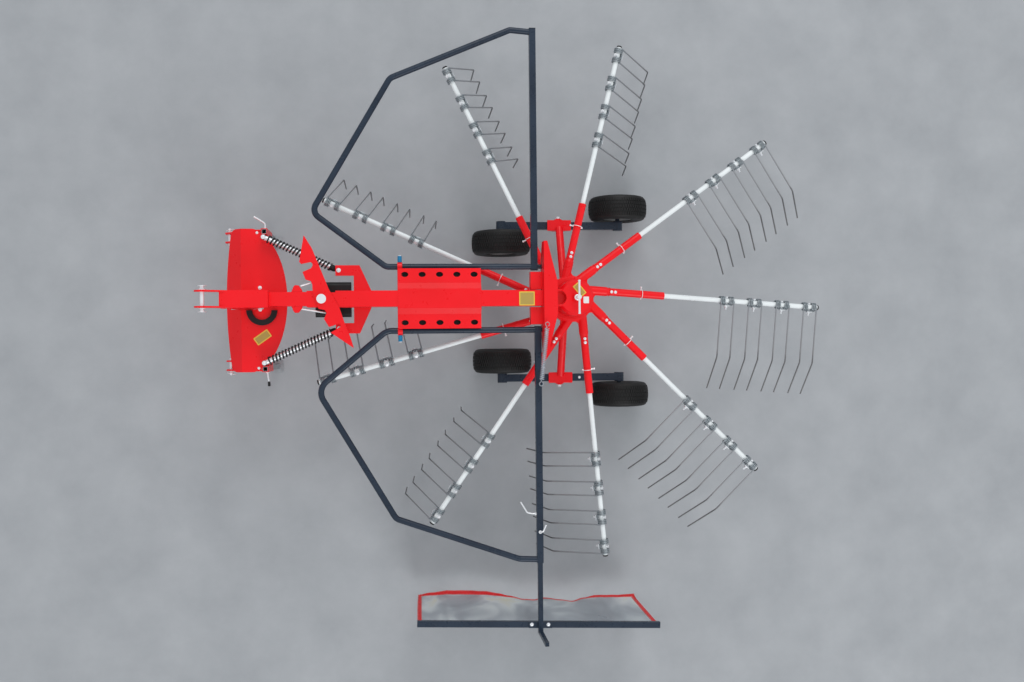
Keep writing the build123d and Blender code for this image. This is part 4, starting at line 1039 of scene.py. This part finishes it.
# ------------------------------------------------------------------------------ pins, handles and plates
def make_headstock_fittings():
    """Bolts on the shield and pins, linch pins, leg lock handles, neck lugs with their pull rods."""
    heads = [(at(-1.977, y, SHIELD_TOP), UP, 0.008) for y in (0.08, -0.058)]
    heads += [(at(x, y, SHIELD_TOP), UP, 0.006) for x, y in ((-1.992, 0.425), (-1.988, -0.425))]
    x, y, z = STRUT_ENDS[0]
    heads += [(at(x, sign * y, z + 0.02), UP, 0.01) for sign in (1, -1)]
    bolts("headstock_bolts", "headstock", heads)
    right = [(-1.944, 0.449, 0.68), (-1.944, 0.485, 0.68), (-1.978, 0.507, 0.684), (-2.013, 0.528, 0.69)]
    left = [(-1.938, -0.449, 0.68), (-1.934, -0.482, 0.68), (-1.929, -0.514, 0.684)]
    handles = [bent_wire([[at(*p) for p in right], [at(*p) for p in left]], 0.0052, 0.02)]
    handles.append(rod(at(-1.944, 0.4495, 0.68), at(-1.944, 0.458, 0.68), 0.0115, 6))
    handles.append(rod(at(-1.938, -0.4495, 0.68), at(-1.938, -0.458, 0.68), 0.0115, 6))
    for near, x, y in ((0.08, -1.648, 0.101), (-0.06, -1.559, -0.086)):
        handles.append(rod(at(-1.712, near, 0.884), at(x, y, 0.884), 0.0052, 14))
    grip = rod(at(-1.929, -0.51, 0.6836), at(-1.927, -0.54, 0.6865), 0.0085, 16, 0.003)
    piece("headstock_lock_handles", joined("handles", handles), ZINC, "headstock")
    piece("lock_handle_grip", joined("grip", [grip]), BLACK, "headstock")
    lugs = []
    plan = (
        (-1.768, 0.042), (-1.7, 0.042), (-1.703, 0.056), (-1.722, 0.083), (-1.742, 0.085), (-1.752, 0.08),
    )
    for sign in (1, -1):
        lugs.append(slab([(x, sign * y) for x, y in plan], 0.03, Matrix.Translation(at(0, 0, 0.868)), 0.002))
    piece("neck_lugs", joined("lugs", lugs), RED, "headstock")
    pins, rings = [], []
    for sign in (1, -1):
        x, y, z = -2.187, sign * 0.4635, 0.48
        pins.append(rod(at(x, y, z - 0.024), at(x, y, z + 0.026), 0.0045, 12))
        pins.append(rod(at(x, y, z + 0.026), at(x, y, z + 0.034), 0.0085, 12, 0.002))
        rings.append(bow(at(x, y, z), Vector((0.026, sign * 0.0056, 0)), Vector((0, 0, 0.024))))
    for y in (0.074, -0.074):
        x, _, z = TOP_LINK
        pins.append(rod(at(x, y, z - 0.024), at(x, y, z + 0.025), 0.004, 12))
        rings.append(bow(at(x, y * 1.06, z), Vector((0.024, 0, 0)), Vector((0, 0, 0.026))))
    pins.append(bent_wire(rings, 0.0021, 0.004))
    piece("link_linch_pins", joined("pins", pins), ZINC, "headstock")
    x, _, z = TOP_LINK
    collars = both_sides(x, 0.0535, 0.06, z, 0.0225)
    piece("top_link_washers", joined("collars", collars), ZINC, "headstock")


def make_root_fittings():
    """Pivot and yoke bolts, bogie bolts, crank collar and grips, knob discs and underside bolts."""
    heads = [(at(-1.484, s * 0.182, 0.8), UP, 0.0095) for s in (1, -1)]
    heads += [(at(x, -0.526, 0.233), UP, 0.0062) for x in (0.135, 0.205)]
    heads += [(at(0, s * 0.576, 0.203), (0, s, 0), 0.014) for s in (1, -1)]
    for k in range(8):
        a = radians(22.5 + 45 * k)
        heads.append((at(0.118 * cos(a), 0.118 * sin(a), 0.5273), DOWN, 0.0085))
    heads += [(at(x, y, 0.395), DOWN, 0.0105) for x in (-0.055, 0.055) for y in (-0.055, 0.055)]
    heads += [(at(-0.18, s * 0.066, 0.826 + 0.05 * k), (0, s, 0), 0.0095) for s in (1, -1) for k in (0, 1)]
    heads += [(at(x, y, 0.788), DOWN, 0.0105) for x in (-1.36, -1.31) for y in (-0.03, 0.03)]
    bolts("frame_bolts", "root", heads)
    collars = [
        moved(turned([(0, 0.942), (0.019, 0.942), (0.019, 0.951), (0.014, 0.954), (0, 0.954)], 28),
              Matrix.Translation(ROTOR)),
        moved(turned([(0, 0.9985), (0.0125, 0.9985), (0.015, 1.0035), (0.015, 1.0175), (0.011, 1.0215),
                      (0, 1.0215)], 24), Matrix.Translation(ROTOR)),
    ]
    collars += both_sides(0, 0.096, 0.106, 1.012, 0.0085, 20, 0.002)
    piece("crank_collars", joined("collars", collars), ZINC, "root")
    discs = both_sides(KNOB_X, 0.2663, 0.272, GUARD_Z, 0.0095, 20)
    piece("lock_knob_discs", joined("discs", discs), LABEL_WHITE, "root")
    ridges = []
    for y in (0.236, 0.246, 0.256):
        ridges += both_sides(KNOB_X, y, y + 0.004, GUARD_Z, 0.0142)
    piece("lock_knob_grips", joined("grips", ridges), BLUE, "root")


def make_hole_shade_cups():
    """Black cups under the cover's oval holes: painted shade, dark stand-ins for the shadowed hollow beneath
    them.
    """
    cup = turned([(0, -0.031), (0.0215, -0.031), (0.0225, -0.028), (0.023, -0.0002), (0.0215, -0.0002),
                  (0.0205, -0.027), (0, -0.028)], 32)
    # painted shade: each black cup darkens a hole where the hollow below would lie in shadow
    cups = []
    for n in range(-2, 3):
        for sign in (1, -1):
            place = Matrix.Translation(at(-0.859 + 0.108 * n, sign * 0.15, 0.875))
            cups.append(moved(cup, place @ Matrix.Diagonal((1, 0.78, 1, 1))))
    piece("cover_hole_shade_cups", joined("cups", cups), BLACK, "root")


def make_guard_fittings():
    """Clamp handles and end plugs of the guards' square tubes."""
    x, z, front, rear = GUARD_X["left"], GUARD_Z, -1.365, -1.478
    lines = (
        ((-0.2575, front, z), (-0.283, front, z), (-0.318, -1.356, 0.843), (-0.36, -1.287, 0.85)),
        ((x, rear, 0.86), (x, rear, 0.884), (-0.222, -1.47, 0.888), (-0.204, -1.43, 0.89)),
    )
    handles = [
        bent_wire([[at(*p) for p in line] for line in lines], 0.005, 0.016),
        rod(at(-0.2583, front, z), at(-0.27, front, z), 0.0115, 6),
        rod(at(x, rear, 0.8603), at(x, rear, 0.87), 0.0115, 6),
    ]
    piece("curtain_tube_clamp_handles", joined("handles", handles), ZINC, "guard_left")
    inner = slab(rounded(0.042, 0.042, 0.004), 0.003)
    for side, sign in SIDES.items():
        plugs = [moved(inner, aim((0, -sign, 0), at(GUARD_X[side], sign * 0.1797, GUARD_Z)))]
        if side == "right":
            plugs.append(moved(inner, aim((0, 1, 0), at(GUARD_X[side], 1.7043, GUARD_Z))))
        piece(f"guard_tube_plugs_{side}", joined("plugs", plugs), BLACK, f"guard_{side}")


def blank_plate(name, body, centre, size, turn, panel=True):
    """Blank painted plate: rounded plate with a plain inset panel."""
    place = Matrix.Translation(centre) @ Matrix.Rotation(turn, 4, "Z")
    base = slab(rounded(*size, 0.004), 0.0012, place, 0.0003)
    piece(name, base, YELLOW if panel else LABEL_WHITE, body)
    if panel:
        inset = slab(rounded(size[0] - 0.014, size[1] - 0.014, 0.002), 0.0014, place, 0.0002)
        piece(f"{name}_panel", inset, OCHRE, body)


def make_plates():
    """Blank plates on the beam, the housing and the shield."""
    blank_plate("beam_plate", "root", at(-0.3135, -0.004, BEAM_TOP), (0.098, 0.088), 0.0)
    blank_plate("housing_plate", "root", at(0.022, 0.05, BEAM_TOP), (0.086, 0.044), atan2(-0.768, 0.64))
    blank_plate("housing_tag", "root", at(0.0635, -0.015, BEAM_TOP), (0.036, 0.042), 0.0, False)
    turn = atan2(0.062, 0.087)
    blank_plate("shield_plate", "headstock", at(-1.9635, -0.2315, SHIELD_TOP), (0.104, 0.054), turn)


ROOT_WELDS = (
    (-1.12, 0.0505, 0.832, -1.12, 0.0505, 0.848), (-1.09, 0.0505, 0.832, -1.09, 0.0505, 0.848),
    (-1.504, 0.0495, 0.7995, -1.29, 0.0505, 0.7995), (-0.2045, 0.0505, 0.802, -0.2045, 0.0505, 0.898),
)
HEADSTOCK_WELDS = (
    (-2.19, 0.0535, 0.8815, -2.15, 0.0535, 0.8815), (-1.9015, 0.044, 0.884, -1.9015, 0.044, 0.898),
    (-2.14, 0.0535, 0.5205, -2.03, 0.0535, 0.5205), (-2.1395, 0.3768, 0.444, -2.1395, 0.3768, 0.516),
    (-1.762, 0.044, 0.8985, -1.712, 0.044, 0.8985),
)


def make_welds():
    """Painted fillet welds at the bosses, tubes, ears and brackets."""
    rotor, root, headstock = [], [], []
    for index in range(ARM_COUNT):
        place = arm_place(index)
        out = place.to_3x3() @ Vector((1, 0, 0))
        rotor.append(circle_line(place @ Vector((BOSS_END + 0.0225, 0, 0)), SOCKET_R + 0.0008, out))
    for sign in (1, -1):
        fall = Vector((0, sign * 0.448, -0.188)).normalized()
        root.append(circle_line(at(0, sign * 0.084, 0.433), 0.0268, fall))
        for lines, ends in ((root, ROOT_WELDS), (headstock, HEADSTOCK_WELDS)):
            for x, y, z, end_x, end_y, end_z in ends:
                lines.append([at(x, sign * y, z), at(end_x, sign * end_y, end_z)])
    headstock.append([at(-1.9015, -0.042, 0.9005), at(-1.9015, 0.042, 0.9005)])
    welds = (("rotor", "rotor", rotor), ("frame", "root", root), ("headstock", "headstock", headstock))
    for name, body, lines in welds:
        mesh = made(WELD, RED, polyline(*lines), Width=0.0032, Step=0.0036)
        piece(f"{name}_welds", mesh, RED, body)


# ------------------------------------------------------------------------------ studio
FLOOR_HALF = 90
LAMPS = ((1.0, 12.0, 9.5), (3.5, -12.0, 9.5))
LAMP_SIZE = 7.0
LAMP_POWER = 620.0
SKY = (0.95, 0.975, 1.0)
SKY_STRENGTH = 0.72
CAMERA_PLACE = (-0.8639, -0.0468, 7.5)
CAMERA_TURNS = (("Z", 0.561), ("Y", 6.613), ("X", 0.018))
FOCAL_LENGTH = 37.3


def make_studio():
    """Plain floor, two large soft boxes at the sides, an even world and the camera."""
    mesh = bpy.data.meshes.new("floor")
    corners = [(x * FLOOR_HALF, y * FLOOR_HALF, 0) for x, y in ((-1, -1), (1, -1), (1, 1), (-1, 1))]
    mesh.from_pydata(corners, [], [(0, 1, 2, 3)])
    floor = in_scene("floor", mesh)
    mesh.materials.append(floor_concrete())
    for number, place in enumerate(LAMPS):
        lamp = bpy.data.lights.new(f"soft_box_{number + 1}", "AREA")
        lamp.shape, lamp.size, lamp.energy = "SQUARE", LAMP_SIZE, LAMP_POWER
        in_scene(f"soft_box_{number + 1}", lamp).matrix_world = aim(Vector(place), place)
    world = bpy.data.worlds.new("even_light")
    world.use_nodes = True
    back = world.node_tree.nodes["Background"]
    back.inputs["Color"].default_value = (*SKY, 1.0)
    back.inputs["Strength"].default_value = SKY_STRENGTH
    bpy.context.scene.world = world
    lens = bpy.data.cameras.new("overhead_camera")
    lens.sensor_width, lens.lens, lens.clip_end = 36.0, FOCAL_LENGTH, 200.0
    camera = in_scene("overhead_camera", lens)
    turn = Matrix.Identity(3)
    for axis, angle in CAMERA_TURNS:
        turn = turn @ Matrix.Rotation(radians(angle), 3, axis)
    camera.matrix_world = Matrix.Translation(CAMERA_PLACE) @ turn.transposed().to_4x4()
    bpy.context.scene.camera = camera
    bpy.context.scene.view_settings.view_transform = "Standard"


make_tines()
make_arm_fittings()
make_wheels()
make_stabilisers()
make_balance_spring()
make_curtain()
make_headstock_fittings()
make_root_fittings()
make_hole_shade_cups()
make_guard_fittings()
make_plates()
make_welds()
make_studio()
